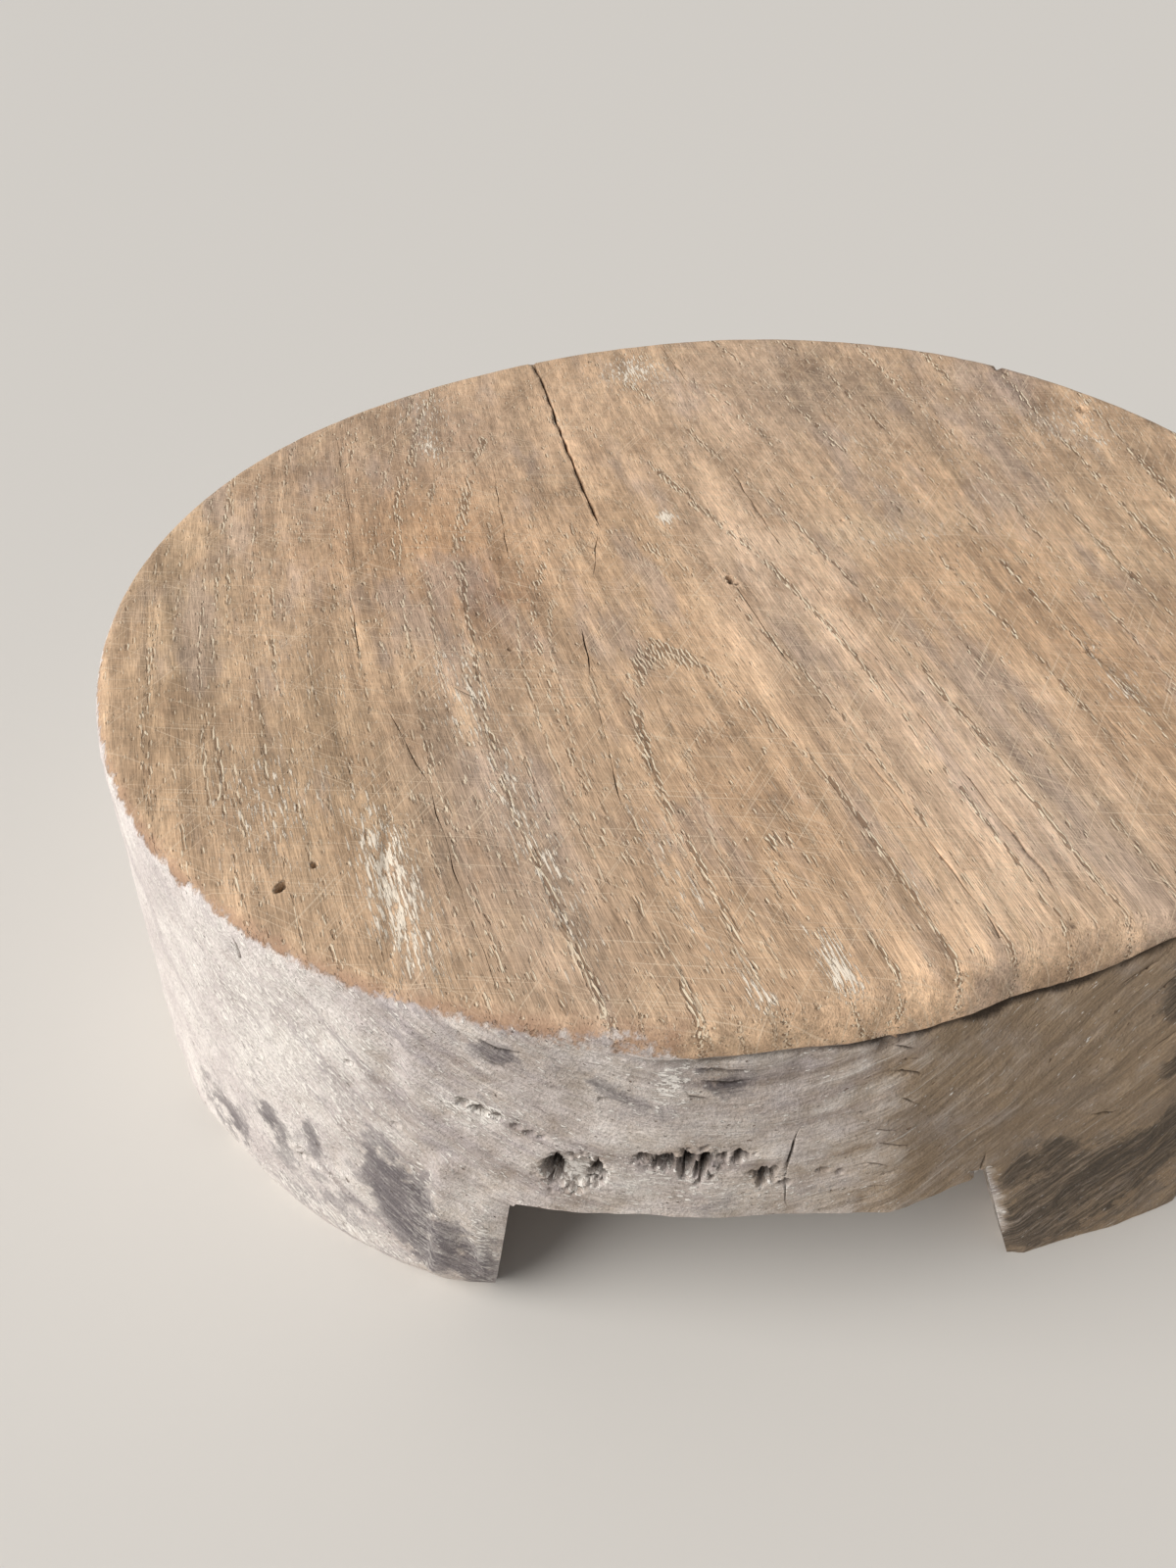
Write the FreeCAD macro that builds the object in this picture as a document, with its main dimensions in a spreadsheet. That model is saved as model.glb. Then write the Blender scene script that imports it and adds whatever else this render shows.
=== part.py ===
import FreeCAD, Part
import os
import Sketcher

# Chakla rolling board: a thick, slightly oval wooden slab that stands on two runner feet.
# Lengths are millimetres and turns are degrees. +Z is up and the soles stand on z = 0.
# The origin is the middle of the footprint. An open channel runs under the slab along Y,
# between the left foot on the -X side and the right foot on the +X side.

# Every size that can be set by itself, with what it measures.
SIZES = {
    "top_width": (320, "mean width of the oval working face"),
    "out_of_round": (35, "long axis less short axis of the working face"),
    "oval_turn": (36, "turn of the long axis from +X towards +Y"),
    "board_height": (98, "floor to working face"),
    "foot_height": (41, "floor to the underside of the slab"),
    "wall_flare": (8, "how far the feet stand out past the slab, at the floor"),
    "rim_round": (4, "radius worn on the rim of the working face"),
    "left_bevel": (6, "bevel hewn along the outer edge of the left sole"),
    "right_bevel": (2, "bevel hewn along the outer edge of the right sole"),
    "left_reach": (58, "centre line to the left foot, at the roof of the channel"),
    "right_reach": (40, "centre line to the right foot, at the roof of the channel"),
    "left_lean": (6, "how far the left foot's inner face falls back at the floor"),
    "right_lean": (15, "how far the right foot's inner face falls back at the floor"),
}

doc = FreeCAD.newDocument("chakla_rolling_board")


def size(name):
    """The number that a size has when the sheet is first filled."""
    return SIZES[name][0]


def fill_sheet():
    """One row for each size: its name, its number under that alias, and what it measures."""
    sheet = doc.addObject("Spreadsheet::Sheet", "sizes")
    for row, (name, (number, meaning)) in enumerate(SIZES.items(), start=1):
        sheet.set(f"A{row}", name)
        sheet.set(f"B{row}", str(number))
        sheet.setAlias(f"B{row}", name)
        sheet.set(f"C{row}", meaning)
    doc.recompute()


def new_body(label):
    """An empty body whose label names its piece."""
    body = doc.addObject("PartDesign::Body", label)
    body.Label = label
    return body


def new_sketch(body, name, plane_role):
    """A sketch on one of the body's own origin planes."""
    planes = [plane for plane in body.Origin.OriginFeatures if plane.Role == plane_role]
    sketch = body.newObject("Sketcher::SketchObject", name)
    sketch.AttachmentSupport = (planes[0], [""])
    sketch.MapMode = "FlatFace"
    return sketch


def bind(sketch, constraint, name, expression):
    """Add a measuring constraint to a sketch and tie it to the sheet."""
    sketch.renameConstraint(sketch.addConstraint(constraint), name)
    sketch.setExpression(f"Constraints.{name}", expression)


def oval_section(body, name, level, growth):
    """A level oval section of the block; its level above the floor, and how far its outline stands
    out past the rim, are given as expressions."""
    sketch = new_sketch(body, name, "XY_Plane")
    sketch.setExpression("AttachmentOffset.Base.z", level)
    sketch.setExpression("AttachmentOffset.Rotation.Angle", "sizes.oval_turn")
    half_short = size("top_width") / 2
    half_long = half_short + size("out_of_round")
    long_end = FreeCAD.Vector(half_long, 0, 0)
    short_end = FreeCAD.Vector(0, half_short, 0)
    oval = sketch.addGeometry(Part.Ellipse(long_end, short_end, FreeCAD.Vector(0, 0, 0)))
    sketch.exposeInternalGeometry(oval)
    long_axis = oval + 1
    short_axis = oval + 2
    sketch.addConstraint(Sketcher.Constraint("Coincident", oval, 3, -1, 1))
    sketch.addConstraint(Sketcher.Constraint("Horizontal", long_axis))
    bind(sketch, Sketcher.Constraint("Distance", long_axis, 2 * half_long), "long_axis",
         f"sizes.top_width + sizes.out_of_round / 2 + 2 * {growth}")
    bind(sketch, Sketcher.Constraint("Distance", short_axis, 2 * half_short), "short_axis",
         f"sizes.top_width - sizes.out_of_round / 2 + 2 * {growth}")
    return sketch


def make_slab():
    """The working slab, with an upright wall and its rim worn round."""
    body = new_body("rolling_slab")
    block = body.newObject("PartDesign::Pad", "Block")
    block.Profile = oval_section(body, "Outline", "sizes.foot_height", "0")
    block.setExpression("Length", "sizes.board_height - sizes.foot_height")
    doc.recompute()
    heights = [edge.CenterOfMass.z for edge in block.Shape.Edges]
    rim = f"Edge{heights.index(max(heights)) + 1}"
    worn = body.newObject("PartDesign::Fillet", "WornRim")
    worn.Base = (block, [rim])
    worn.setExpression("Radius", "sizes.rim_round")
    doc.recompute()
    return body


def cut_profile(body, side, reach, lean):
    """The front view of all that lies on the channel's side of a foot's leaning inner face."""
    sketch = new_sketch(body, "ChannelProfile", "XZ_Plane")
    floor_x = side * (size(reach) + size(lean))
    roof_x = side * size(reach)
    far_x = -side * size("top_width")
    roof_z = size("foot_height")
    corners = [
        FreeCAD.Vector(floor_x, 0, 0),
        FreeCAD.Vector(roof_x, roof_z, 0),
        FreeCAD.Vector(far_x, roof_z, 0),
        FreeCAD.Vector(far_x, 0, 0),
    ]
    for start, end in zip(corners, corners[1:] + corners[:1]):
        sketch.addGeometry(Part.LineSegment(start, end))
    inner_face, roof, far_side, floor = range(len(corners))
    for line, following in ((inner_face, roof), (roof, far_side), (far_side, floor), (floor, inner_face)):
        sketch.addConstraint(Sketcher.Constraint("Coincident", line, 2, following, 1))
    sketch.addConstraint(Sketcher.Constraint("Horizontal", roof))
    sketch.addConstraint(Sketcher.Constraint("Vertical", far_side))
    sketch.addConstraint(Sketcher.Constraint("PointOnObject", floor, 1, -1))
    sketch.addConstraint(Sketcher.Constraint("PointOnObject", floor, 2, -1))
    bind(sketch, Sketcher.Constraint("DistanceX", -1, 1, inner_face, 1, floor_x), "floor_edge",
         f"{side} * (sizes.{reach} + sizes.{lean})")
    bind(sketch, Sketcher.Constraint("DistanceX", -1, 1, inner_face, 2, roof_x), "roof_edge",
         f"{side} * sizes.{reach}")
    bind(sketch, Sketcher.Constraint("DistanceX", -1, 1, far_side, 1, far_x), "far_edge",
         f"{-side} * sizes.top_width")
    bind(sketch, Sketcher.Constraint("DistanceY", -1, 1, roof, 1, roof_z), "roof_level",
         "sizes.foot_height")
    return sketch


def make_foot(label, side, reach, lean, bevel_width):
    """A runner foot: the block below the slab, cut off along the channel and bevelled at its sole."""
    body = new_body(label)
    block = body.newObject("PartDesign::AdditiveLoft", "Block")
    block.Profile = oval_section(body, "SoleOutline", "0", "sizes.wall_flare")
    block.Sections = [oval_section(body, "RootOutline", "sizes.foot_height", "0")]
    block.Ruled = True
    doc.recompute()
    channel = body.newObject("PartDesign::Pocket", "Channel")
    channel.Profile = cut_profile(body, side, reach, lean)
    channel.Type = "ThroughAll"
    channel.Midplane = True
    doc.recompute()
    if not channel.Shape.Volume < block.Shape.Volume / 2:
        raise RuntimeError(f"{label}: the channel was not cut")
    outer_sole = [
        f"Edge{number}"
        for number, edge in enumerate(channel.Shape.Edges, start=1)
        if edge.BoundBox.ZMax < size("foot_height") / 2 and edge.Curve.TypeId != "Part::GeomLine"
    ]
    bevel = body.newObject("PartDesign::Chamfer", "SoleBevel")
    bevel.Base = (channel, outer_sole)
    bevel.setExpression("Size", f"sizes.{bevel_width}")
    doc.recompute()
    return body


def check(bodies):
    """Stop if any object failed, or if a piece is not one sound solid."""
    for thing in doc.Objects:
        if "Invalid" in thing.State or "Error" in thing.State:
            raise RuntimeError(f"{thing.Name} did not recompute: {thing.State}")
    for body in bodies:
        shape = body.Shape
        if shape.isNull() or not shape.isValid() or len(shape.Solids) != 1:
            raise RuntimeError(f"{body.Label} is not one sound solid")


fill_sheet()
pieces = [
    make_slab(),
    make_foot("left_foot", -1, "left_reach", "left_lean", "left_bevel"),
    make_foot("right_foot", 1, "right_reach", "right_lean", "right_bevel"),
]
check(pieces)

os.makedirs("parts", exist_ok=True)
for piece in pieces:
    piece.Shape.exportStep(os.path.join("parts", f"{piece.Label}.step"))
    print(f"{piece.Label}: {piece.Shape.Volume:.0f} cubic mm")
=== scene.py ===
import math
from collections import namedtuple

import bpy
import numpy as np
from mathutils import Matrix, Vector, noise
from mathutils.geometry import delaunay_2d_cdt


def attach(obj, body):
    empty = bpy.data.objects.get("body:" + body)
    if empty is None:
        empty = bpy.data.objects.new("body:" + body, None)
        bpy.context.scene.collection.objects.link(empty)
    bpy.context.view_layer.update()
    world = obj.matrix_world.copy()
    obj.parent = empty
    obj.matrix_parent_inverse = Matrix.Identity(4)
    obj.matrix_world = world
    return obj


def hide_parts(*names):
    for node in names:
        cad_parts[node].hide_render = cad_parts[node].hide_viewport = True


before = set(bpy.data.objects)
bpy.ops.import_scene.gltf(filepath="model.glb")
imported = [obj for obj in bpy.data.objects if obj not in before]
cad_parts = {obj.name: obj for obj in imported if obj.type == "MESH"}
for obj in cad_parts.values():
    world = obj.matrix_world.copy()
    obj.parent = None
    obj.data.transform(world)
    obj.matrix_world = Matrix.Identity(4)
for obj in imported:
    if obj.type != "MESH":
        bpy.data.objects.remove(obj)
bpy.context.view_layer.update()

# Chakla rolling board, dressed: one old carved block, seen here as a slab and two runner feet.
# Lengths below are millimetres and turns are degrees, unless a name says otherwise.
# Turns go round the board from +X, as seen from above. Heights are above the table.
MM = 0.001
BOARD_HEIGHT = 98.0
JOIN_HEIGHT = 41.0
MEAN_RADIUS = 160.0
ONE_DEGREE = math.radians(MEAN_RADIUS)

# The rim's outline: waves in one turn, with their cosine and sine shares of the mean radius.
RIM_WAVES = ((2, 0.0169, 0.0520), (3, 0.0015, -0.0065), (4, -0.0022, -0.0099))

# The wall by turn: height and reach of the worn rim, how far the wall falls back under the lip, how far it
# stands out at the table, the swell of rim and wall at the front right, and the bevel hewn under the soles.
RIM_ROUND = (
    (-180, 4.0), (-120, 3.4), (-112, 4.0), (-104, 6.0), (-94, 7.6), (-84, 9.0), (-70, 8.6), (-66, 7.2),
    (-63, 5.4), (-58, 4.6), (0, 3.5), (90, 3.5),
)
RIM_REACH = (
    (-180, 4.0), (-120, 3.6), (-104, 6.0), (-94, 8.5), (-84, 11.0), (-70, 11.0), (-66, 9.5), (-63, 7.5),
    (-58, 6.0), (0, 4.0), (90, 4.0),
)
LIP_INSET = ((-112, 0), (-100, 0.6), (-92, 2.2), (-84, 3.4), (-76, 4.4), (-64, 4.2), (-56, 2.0), (-45, 0))
WALL_LEAN = (
    (-180, 6.0), (-155, 7.0), (-142, 7.0), (-130, 6.5), (-118, 6.0), (-111, 5.5), (-100, 4.5), (-92, 5.0),
    (-83.5, 8.0), (-79, 7.4), (-74, 7.6), (-69, 7.4), (-65, 7.1), (-61, 8.0), (-58, 8.8), (-54, 12.0),
    (-48, 11.0), (-40, 9.0), (-30, 8.0), (0, 7.5), (30, 6.5), (90, 6.5), (130, 6.5),
)
RIM_SWELL = ((-72, 0.0), (-64, 2.2), (-58, 3.6), (-54, 3.8), (-46, 2.6), (-36, 1.0), (-26, 0.0))
SOLE_BEVEL = (
    (-180, 4.5), (-155, 4.5), (-142, 4.8), (-133, 3.0), (-124, 3.4), (-117, 4.5), (-112, 6.5), (-80, 0.3),
    (-55, 0.3), (-35, 2.0), (0, 4.0), (75, 4.0), (110, 4.0),
)
BEVEL_HEIGHT = 9.0

# How far below the rim the flats and the roughness fade out, and where the wall falls back under the lip.
FLAT_FADE = 20.0
ROUGH_FADE = 6.0
INSET_FROM = 60.0
INSET_RISE = 32.0

# How far the wall stands out beside the channel, and how its ridges and the feet's inner faces fade out.
WALL_OUT = 3.0
RIDGE_END = 5.0
RIDGE_FALL = 7.0
INNER_FADE = 5.0

# The wall's hewn flats: where each begins, and how flat it is (0 follows the oval, 1 is a chord).
FLATS = (
    (-175, 0.10), (-142, 0.15), (-116.5, 0.12), (-83.5, 0.35), (-60, 0.30), (-30, 0.40), (5, 0.40),
    (40, 0.40), (75, 0.40), (112, 0.35), (150, 0.20),
)

# The feet: side of the board, inner face at the channel's roof, how far it falls back at the table, turns
# between which its two ends lie, and width and depth of the wear on its near edge.
Foot = namedtuple("Foot", "name node side reach lean first last wear_width wear_depth")
LEFT_FOOT = Foot("hewn_left_foot", "left_foot", -1, 58.0, 6.0, (-265, -225), (-135, -95), 5.0, 1.2)
RIGHT_FOOT = Foot("hewn_right_foot", "right_foot", 1, 39.5, 14.5, (-95, -45), (45, 95), 2.6, 1.2)
FEET = (LEFT_FOOT, RIGHT_FOOT)

# How far the channel's roof rises over the join, by place across the board, at its near and far ends.
ROOF_NEAR = ((-58, 3.0), (-28, 2.0), (0, 1.0), (22, -2.0), (40, -1.0))
ROOF_FAR = ((-58, 1.0), (0, 0.3), (40, 1.4))
ROOF_END = 155.0
ROOF_EASE = 1.6

# Roughness: height, size of its lumps, seed, and octaves where they aren't two.
FACE_WAVES = ((0.22, (22, 70, 22), 1), (0.10, (5, 30, 5), 2))
WALL_WAVES = ((0.55, 24, 12), (0.30, 7, 13))
STROKE_WAVES = ((0.16, (14, 9, 9), 14, 3),)
ROOF_WAVES = ((0.5, (9, 24, 9), 21),)
INNER_WAVES = ((0.5, (9, 26, 9), 23), (0.2, (4, 5, 4), 24))

# How far the working face is dished, the depth at which a hollow gets its full painted shade, and seeds of
# its ragged edge.
FACE_DISH = 0.5
SHADE_DEPTH = 3.2
FACE_SEED = 3
WALL_SEED = 4

# Grooves: space between their points, space between the knots of their wander, and wander along x and y.
GROOVE_STEP = 0.7
SWAY_STEP = 5.0
GROOVE_SWAY = (0.30, 0.10)
FIRST_WALL_SEED = 100

# Length of their tapered ends, share of their width where they don't gape, and their rows of points, each
# at a share of the half width and a length beyond it. Even points keep clear of grooves, and of the box
# round each hollow, which is a share of its size and an edge. Closer points keep off a patch's edge.
GROOVE_TAPER = 6.0
GROOVE_NARROW = 0.25
GROOVE_BANKS = ((0.4, 0.0), (0.8, 0.0), (1.2, 0.0), (1.0, 0.9), (1.0, 2.0))
GROOVE_CLEAR = 2.6
HOLLOW_SHARE = 1.35
HOLLOW_EDGE = 0.5
DETAIL_MARGIN = 0.25

# The mesh: turn of the wall's seam, turn between points, closer points beside the channel's corners, space
# between points on a foot's straight edges, halvings that find a corner, points up the seam and up the
# edges of a foot, and the turns left free at the two ends of a sole.
SEAM_TURN = -270.0
RING_STEP = 360 / 800.0
CORNER_STEPS = (-0.45, -0.3, -0.15, 0, 0.15, 0.3, 0.45)
CORNER_CLEAR = 0.6
CHORD_STEP = 3.0
HALVINGS = 26
SEAM_POINTS = 40
FOOT_POINTS = 30
SOLE_START = 0.4
SOLE_END = 0.3

# Rows of points on the underside, along the edges of the channel's roof.
EDGE_ROWS = (-2.0, 0.0, 0.8, -0.8, 2.0)
EDGE_SPACING = 2.5
EDGE_CLEAR = 3.0
EDGE_MARGIN = 0.8

# Evenly spread points, as shares of their spacing: space between rows, chance shift, and space to the edge.
ROW_SHARE = 0.866
JITTER = 0.2
MARGIN_SHARE = 0.55

# Spacing and seed of the points spread over each patch, and of the closer ones round its hollows.
SPREAD = {
    "wall": (1.6, 31), "face": (1.9, 32), "gouge": (0.8, 33), "under": (4.0, 34), "foot": (1.6, 35),
    "inner": (2.2, 36), "level": (5.0, 37),
}
CLOSE_SPREAD = {"wall": (0.42, 40), "face": (0.4, 60), "foot": (0.5, 80)}

# Cracks in the working face: places along each (x, y), half width, depth, and the share of it that gapes.
FACE_CRACKS = (
    (((-61, 144), (-54.8, 112), (-50.6, 87), (-45, 56), (-41.9, 41), (-38, 20)), 0.46, 3.2, 1.0),
    (((-38, 18), (-38.8, 6), (-39.4, -7.5)), 0.21, 1.2, 0.5),
    (((-42.5, -34), (-41.6, -43), (-40.6, -52)), 0.24, 1.4, 0.8),
    (((-38.8, -66), (-36.8, -83), (-34.4, -100)), 0.20, 1.1, 0.6),
    (((2, 55), (7, 30), (12, 5)), 0.24, 1.6, 0.9),
    (((12, 5), (15.6, -4), (21, -26), (28.8, -52)), 0.20, 1.3, 0.7),
    (((28.8, -52), (35, -77), (42.5, -106), (46, -118), (49, -146)), 0.24, 1.8, 0.8),
    (((-15.5, 158), (-10, 136), (-5, 115)), 0.22, 1.6, 0.8),
    (((-4.4, -5), (0, -25), (6, -47), (10.6, -57)), 0.22, 1.3, 0.7),
    (((17.5, -82), (22.5, -97), (26, -111), (32.5, -131), (35.5, -150)), 0.21, 1.4, 0.7),
    (((-70, 59), (-66, 28), (-62.5, 0)), 0.15, 0.8, 0.6),
    (((-120, 75), (-110, 30), (-102, -8)), 0.14, 0.7, 0.4),
    (((-102, -20), (-99, -32), (-96, -45)), 0.18, 0.9, 0.6),
    (((-87, -66), (-75, -92), (-67, -120), (-57, -149)), 0.17, 0.9, 0.6),
    (((52, 140), (60, 90), (66, 40), (73, 0)), 0.15, 0.8, 0.5),
    (((64, -20), (70, -50), (77, -85)), 0.15, 0.8, 0.5),
    (((-72, -58), (-67, -62)), 0.21, 0.9, 1.0),
    (((31, 128), (37, 100), (44, 70)), 0.14, 0.7, 0.5),
    (((-16, -44), (-10, -50)), 0.17, 0.7, 0.8),
)

# Small hollows in the working face: middle (x, y), half width, half length, depth.
FACE_HOLLOWS = (
    (-3.8, -11, 0.9, 2.8, 2.2),
    (-100.6, -122, 1.0, 1.8, 2.0),
    (-60, -42.5, 0.7, 0.7, 1.5),
    (-95, -116, 0.6, 1.0, 1.2),
    (80, -46, 1.6, 3.0, 0.7),
    (104, 128, 2.0, 5.0, 1.6),
    (122, 92, 2.5, 3.0, 1.2),
    (31, 20, 0.5, 0.5, 1.0),
)

# The scraped gouge near the left front of the working face: places along it (x, y, half width), depth, and
# the loop round it that has closer points.
GOUGE = ((-83, -97, 0.8), (-81, -112, 2.2), (-78, -128, 3.4), (-74, -147, 4.6))
GOUGE_DEPTH = 0.9
GOUGE_LOOP = ((-86, -94), (-66, -150), (-80, -152), (-90, -96))
GOUGE_REACH = 8.0
GOUGE_MARGIN = 0.4

# Gashes in the wall: places along each (turn, height), half width, depth, and the share of it that gapes.
WALL_GASHES = (
    (((-91.3, 67.5), (-91.6, 57), (-91.2, 46.5)), 0.40, 1.8, 0.8),
    (((-75.9, 39), (-75.7, 47)), 0.35, 1.8, 1.0),
    (((-129.8, 93), (-129.6, 87)), 0.40, 1.2, 1.0),
    (((-127.6, 33), (-125.6, 31), (-123.4, 27)), 0.90, 2.4, 1.0),
    (((-98.5, 87.5), (-96.5, 86), (-94.6, 85.6)), 0.70, 2.0, 1.0),
    (((-98.0, 84), (-96, 82.4), (-94.8, 82.8)), 0.60, 1.6, 0.9),
    (((-98.8, 80.5), (-97.4, 79)), 0.50, 1.3, 1.0),
    (((-112.0, 92.5), (-110.6, 90.5), (-109, 90)), 0.60, 1.5, 0.9),
    (((-111.6, 87.5), (-109.8, 85)), 0.50, 1.3, 0.9),
    (((-106.6, 89.5), (-104, 88.5)), 0.40, 1.0, 0.8),
    (((-85.2, 86.5), (-83.6, 84.6)), 0.32, 0.9, 1.0),
    (((-84.4, 82.5), (-83.2, 81.7)), 0.22, 0.6, 1.0),
    (((-84.8, 80), (-82.6, 77.6)), 0.30, 0.9, 1.0),
    (((-83.9, 73), (-83.0, 71.0)), 0.25, 0.7, 1.0),
    (((-85.6, 66), (-84.2, 64.8)), 0.25, 0.6, 1.0),
    (((-85.2, 62), (-83.0, 59.6)), 0.36, 0.9, 1.0),
    (((-85.8, 56.5), (-84.2, 54.6)), 0.28, 0.7, 1.0),
    (((-84.8, 52), (-83.4, 52.8)), 0.30, 0.8, 1.0),
    (((-85.6, 49), (-84.0, 48.2)), 0.22, 0.6, 1.0),
    (((-65.2, 84.4), (-63.4, 87.4)), 0.36, 1.2, 1.0),
    (((-66.4, 83.4), (-64.6, 85.8)), 0.26, 0.8, 1.0),
    (((-63.6, 77.4), (-61.4, 82.6)), 0.28, 0.9, 1.0),
    (((-62.4, 71.6), (-60.8, 75.4)), 0.30, 0.8, 1.0),
    (((-63.0, 64), (-60.0, 69)), 0.30, 0.9, 1.0),
    (((-61.8, 57), (-59.0, 62)), 0.28, 0.8, 1.0),
    (((-66.5, 49), (-64.6, 47.4), (-63.4, 47.8)), 0.40, 1.0, 0.8),
)

# Rot holes and pits in the wall: middle (turn, height), half width, half height, depth.
WALL_HOLLOWS = (
    (-107.3, 56.6, 2.3, 4.6, 5.5),
    (-104.4, 57.4, 1.8, 4.2, 4.5),
    (-105.9, 56.5, 6.0, 5.8, 1.3),
    (-101.3, 62.2, 2.2, 1.7, 4.0),
    (-99.9, 60.8, 2.0, 2.8, 5.0),
    (-98.5, 60.2, 1.5, 4.4, 5.0),
    (-97.3, 59.4, 2.0, 5.2, 5.5),
    (-96.1, 62.0, 1.6, 1.7, 3.5),
    (-95.0, 62.2, 1.5, 1.9, 3.5),
    (-98.0, 61.0, 9.5, 3.2, 1.0),
    (-92.9, 55.6, 2.4, 2.8, 5.5),
    (-91.5, 53.0, 0.9, 1.0, 2.4),
    (-94.0, 56.5, 1.0, 0.9, 1.6),
    (-89.0, 55.6, 1.9, 1.0, 1.0),
    (-87.6, 54.6, 1.2, 0.9, 1.0),
    (-113.0, 72.6, 1.3, 1.1, 2.0),
    (-112.0, 71.4, 1.9, 1.3, 2.4),
    (-110.8, 70.4, 1.2, 1.0, 1.6),
    (-109.6, 68.6, 1.0, 0.8, 1.2),
    (-108.8, 67.2, 1.0, 0.8, 1.2),
    (-108.0, 66.2, 0.9, 0.7, 1.0),
    (-126.0, 31.0, 4.5, 2.6, 0.8),
    (-121.0, 74.0, 1.0, 0.8, 1.0),
    (-104.0, 79.0, 0.9, 0.7, 0.9),
    (-118.0, 60.0, 0.8, 0.7, 0.9),
)

# Raised edges between the adze's cuts: places along each (turn, height), half width, height raised.
WALL_RIDGES = (
    (((-116.5, 95), (-116.6, 74), (-116.2, 54)), 1.2, 0.6),
    (((-114.9, 56), (-115.6, 40), (-115.8, 26), (-116.6, 8)), 1.2, 1.5),
    (((-113.8, 42), (-113.1, 30), (-112.3, 10)), 1.2, 1.3),
    (((-120.0, 91), (-120.2, 66), (-119.8, 42)), 1.2, 0.4),
    (((-128.0, 38), (-124.5, 32), (-122.5, 22)), 1.2, 0.9),
    (((-134.0, 88), (-132.0, 60), (-131.0, 36)), 1.4, 0.5),
)

# The slit where the wall was cut back under the lip of the working face, darkened with painted shadow: its
# depth and height by turn, how far it runs down, and its ends. Then the turn between its own points, the
# heights from, to and by which their rows step, the band round its middle that even points leave free, and
# the turn past its ends.
LIP_SLIT = (
    (-112, 0.0), (-100, 0.3), (-96, 0.9), (-91, 0.5), (-88, 1.5), (-84, 2.2), (-78, 1.3), (-71, 1.9),
    (-68.6, 0.8), (-67, 0.5), (-64, 1.1), (-60, 0.5), (-45, 0.0),
)
SLIT_HEIGHT = (
    (-112, 93.5), (-104, 91.5), (-96, 90.0), (-88, 88.8), (-80, 87.9), (-70, 88.3), (-66, 90.0),
    (-63, 92.3), (-46, 93.0),
)
SLIT_DROP = 1.9
SLIT_TURNS = (-112, -46)
SLIT_STEP = 0.32
SLIT_ROWS = (-5.0, 1.3, 0.45)
SLIT_MIDDLE = 1.9
SLIT_REACH = 3.8
SLIT_END = 0.3

# Colours, in linear light.
FACE_TAN = (0.585, 0.395, 0.250)
WALL_BROWN = (0.335, 0.240, 0.155)
WALL_DUN = (0.255, 0.195, 0.145)
LIME_WHITE = (0.88, 0.81, 0.755)
LIME_GREY = (0.69, 0.615, 0.585)
LIME_LILAC = (0.45, 0.395, 0.395)
SLATE_STAIN = (0.148, 0.128, 0.134)
EARTH_STAIN = (0.085, 0.066, 0.049)
CHALK_WHITE = (0.92, 0.80, 0.65)
PORE_BROWN = (0.165, 0.092, 0.050)
FILLING_AND_LIT_BANK_CREAM = (0.95, 0.80, 0.59)
FLECK_WHITE = (0.95, 0.89, 0.82)
PAINTED_SHADE_DARK = (0.045, 0.030, 0.020)
# Rusty brown of the rim, darkened so that on the lower, downward-turned part of the lip it also stands as
# painted shade.
RIM_RUST_AND_SHADE = (0.38, 0.225, 0.145)
HONEY = (0.70, 0.485, 0.305)
ASH_TAN = (0.43, 0.275, 0.168)
LILAC_TAN = (0.46, 0.35, 0.285)
UMBER = (0.30, 0.185, 0.110)
SCRATCH_TAN = (0.76, 0.59, 0.42)

# The tree: distance of its first ring line from its heart, and the heart's place beside and above the
# board. The heart has that height at one place along the board and rises from there to the back.
# The way round the tree is measured at one radius.
FIRST_RING = 22.0
HEART_ASIDE = 35.0
HEART_HEIGHT = 22.0
HEART_RISE = 0.22
HEART_FROM = 45.0
GIRTH_RADIUS = 60.0

# The grain's lie on the board: lean, bend, and how it fans out on the right.
GRAIN_LEAN = 0.25
GRAIN_BEND = 0.0004
GRAIN_FAN = 0.0017

# Rows of pores: space between rings, half width and shift of the noise, for wide and for close rings.
# Open pores and filled ones lie aside by a length, each from a least strength; the filled ones lie to the
# right, so each row also stands as painted shade and painted light of a groove lit from the left. Knife
# marks have a turn and a shift.
WIDE_RINGS = (14.7, 1.6, 11.0)
CLOSE_RINGS = (6.1, 1.0, 17.0)
PORE_AND_LIT_BANKS = ((0.0, 0.72), (-0.45, 0.69))
KNIFE_MARKS = ((28, 35.0), (-62, 37.0), (4, 39.0))

# How steeply painted patches fall off.
PATCH_FALL = 0.7

# Lime and stain on the faces that were cut under the board, and depth of the finest relief in metres.
CUT_LIME = 0.45
CUT_STAIN = 0.25
BUMP_DEPTH = 0.0006

# Camera, floor and light, in metres and radians. The lens and its sensor are in millimetres.
CAMERA_PLACE = (-0.0415, -0.2791, 0.2602)
CAMERA_TILT = math.radians(48.96)
CAMERA_ROLL = math.radians(-0.52)
LENS_LENGTH = 27.05
SENSOR_WIDTH = 36.0
FLOOR_REACH = 6.0
FLOOR_COLOUR = (0.66, 0.63, 0.59)
WINDOW_PLACE = (-0.95, -0.37, 0.85)
WINDOW_STRENGTH = 3.4
WINDOW_SPREAD = math.radians(50)
WINDOW_COLOUR = (1.0, 0.985, 0.96)
SKY_COLOUR = (0.95, 0.97, 1.0)
SKY_STRENGTH = 0.30
BACKDROP_COLOUR = (0.68, 0.65, 0.61)

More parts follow.
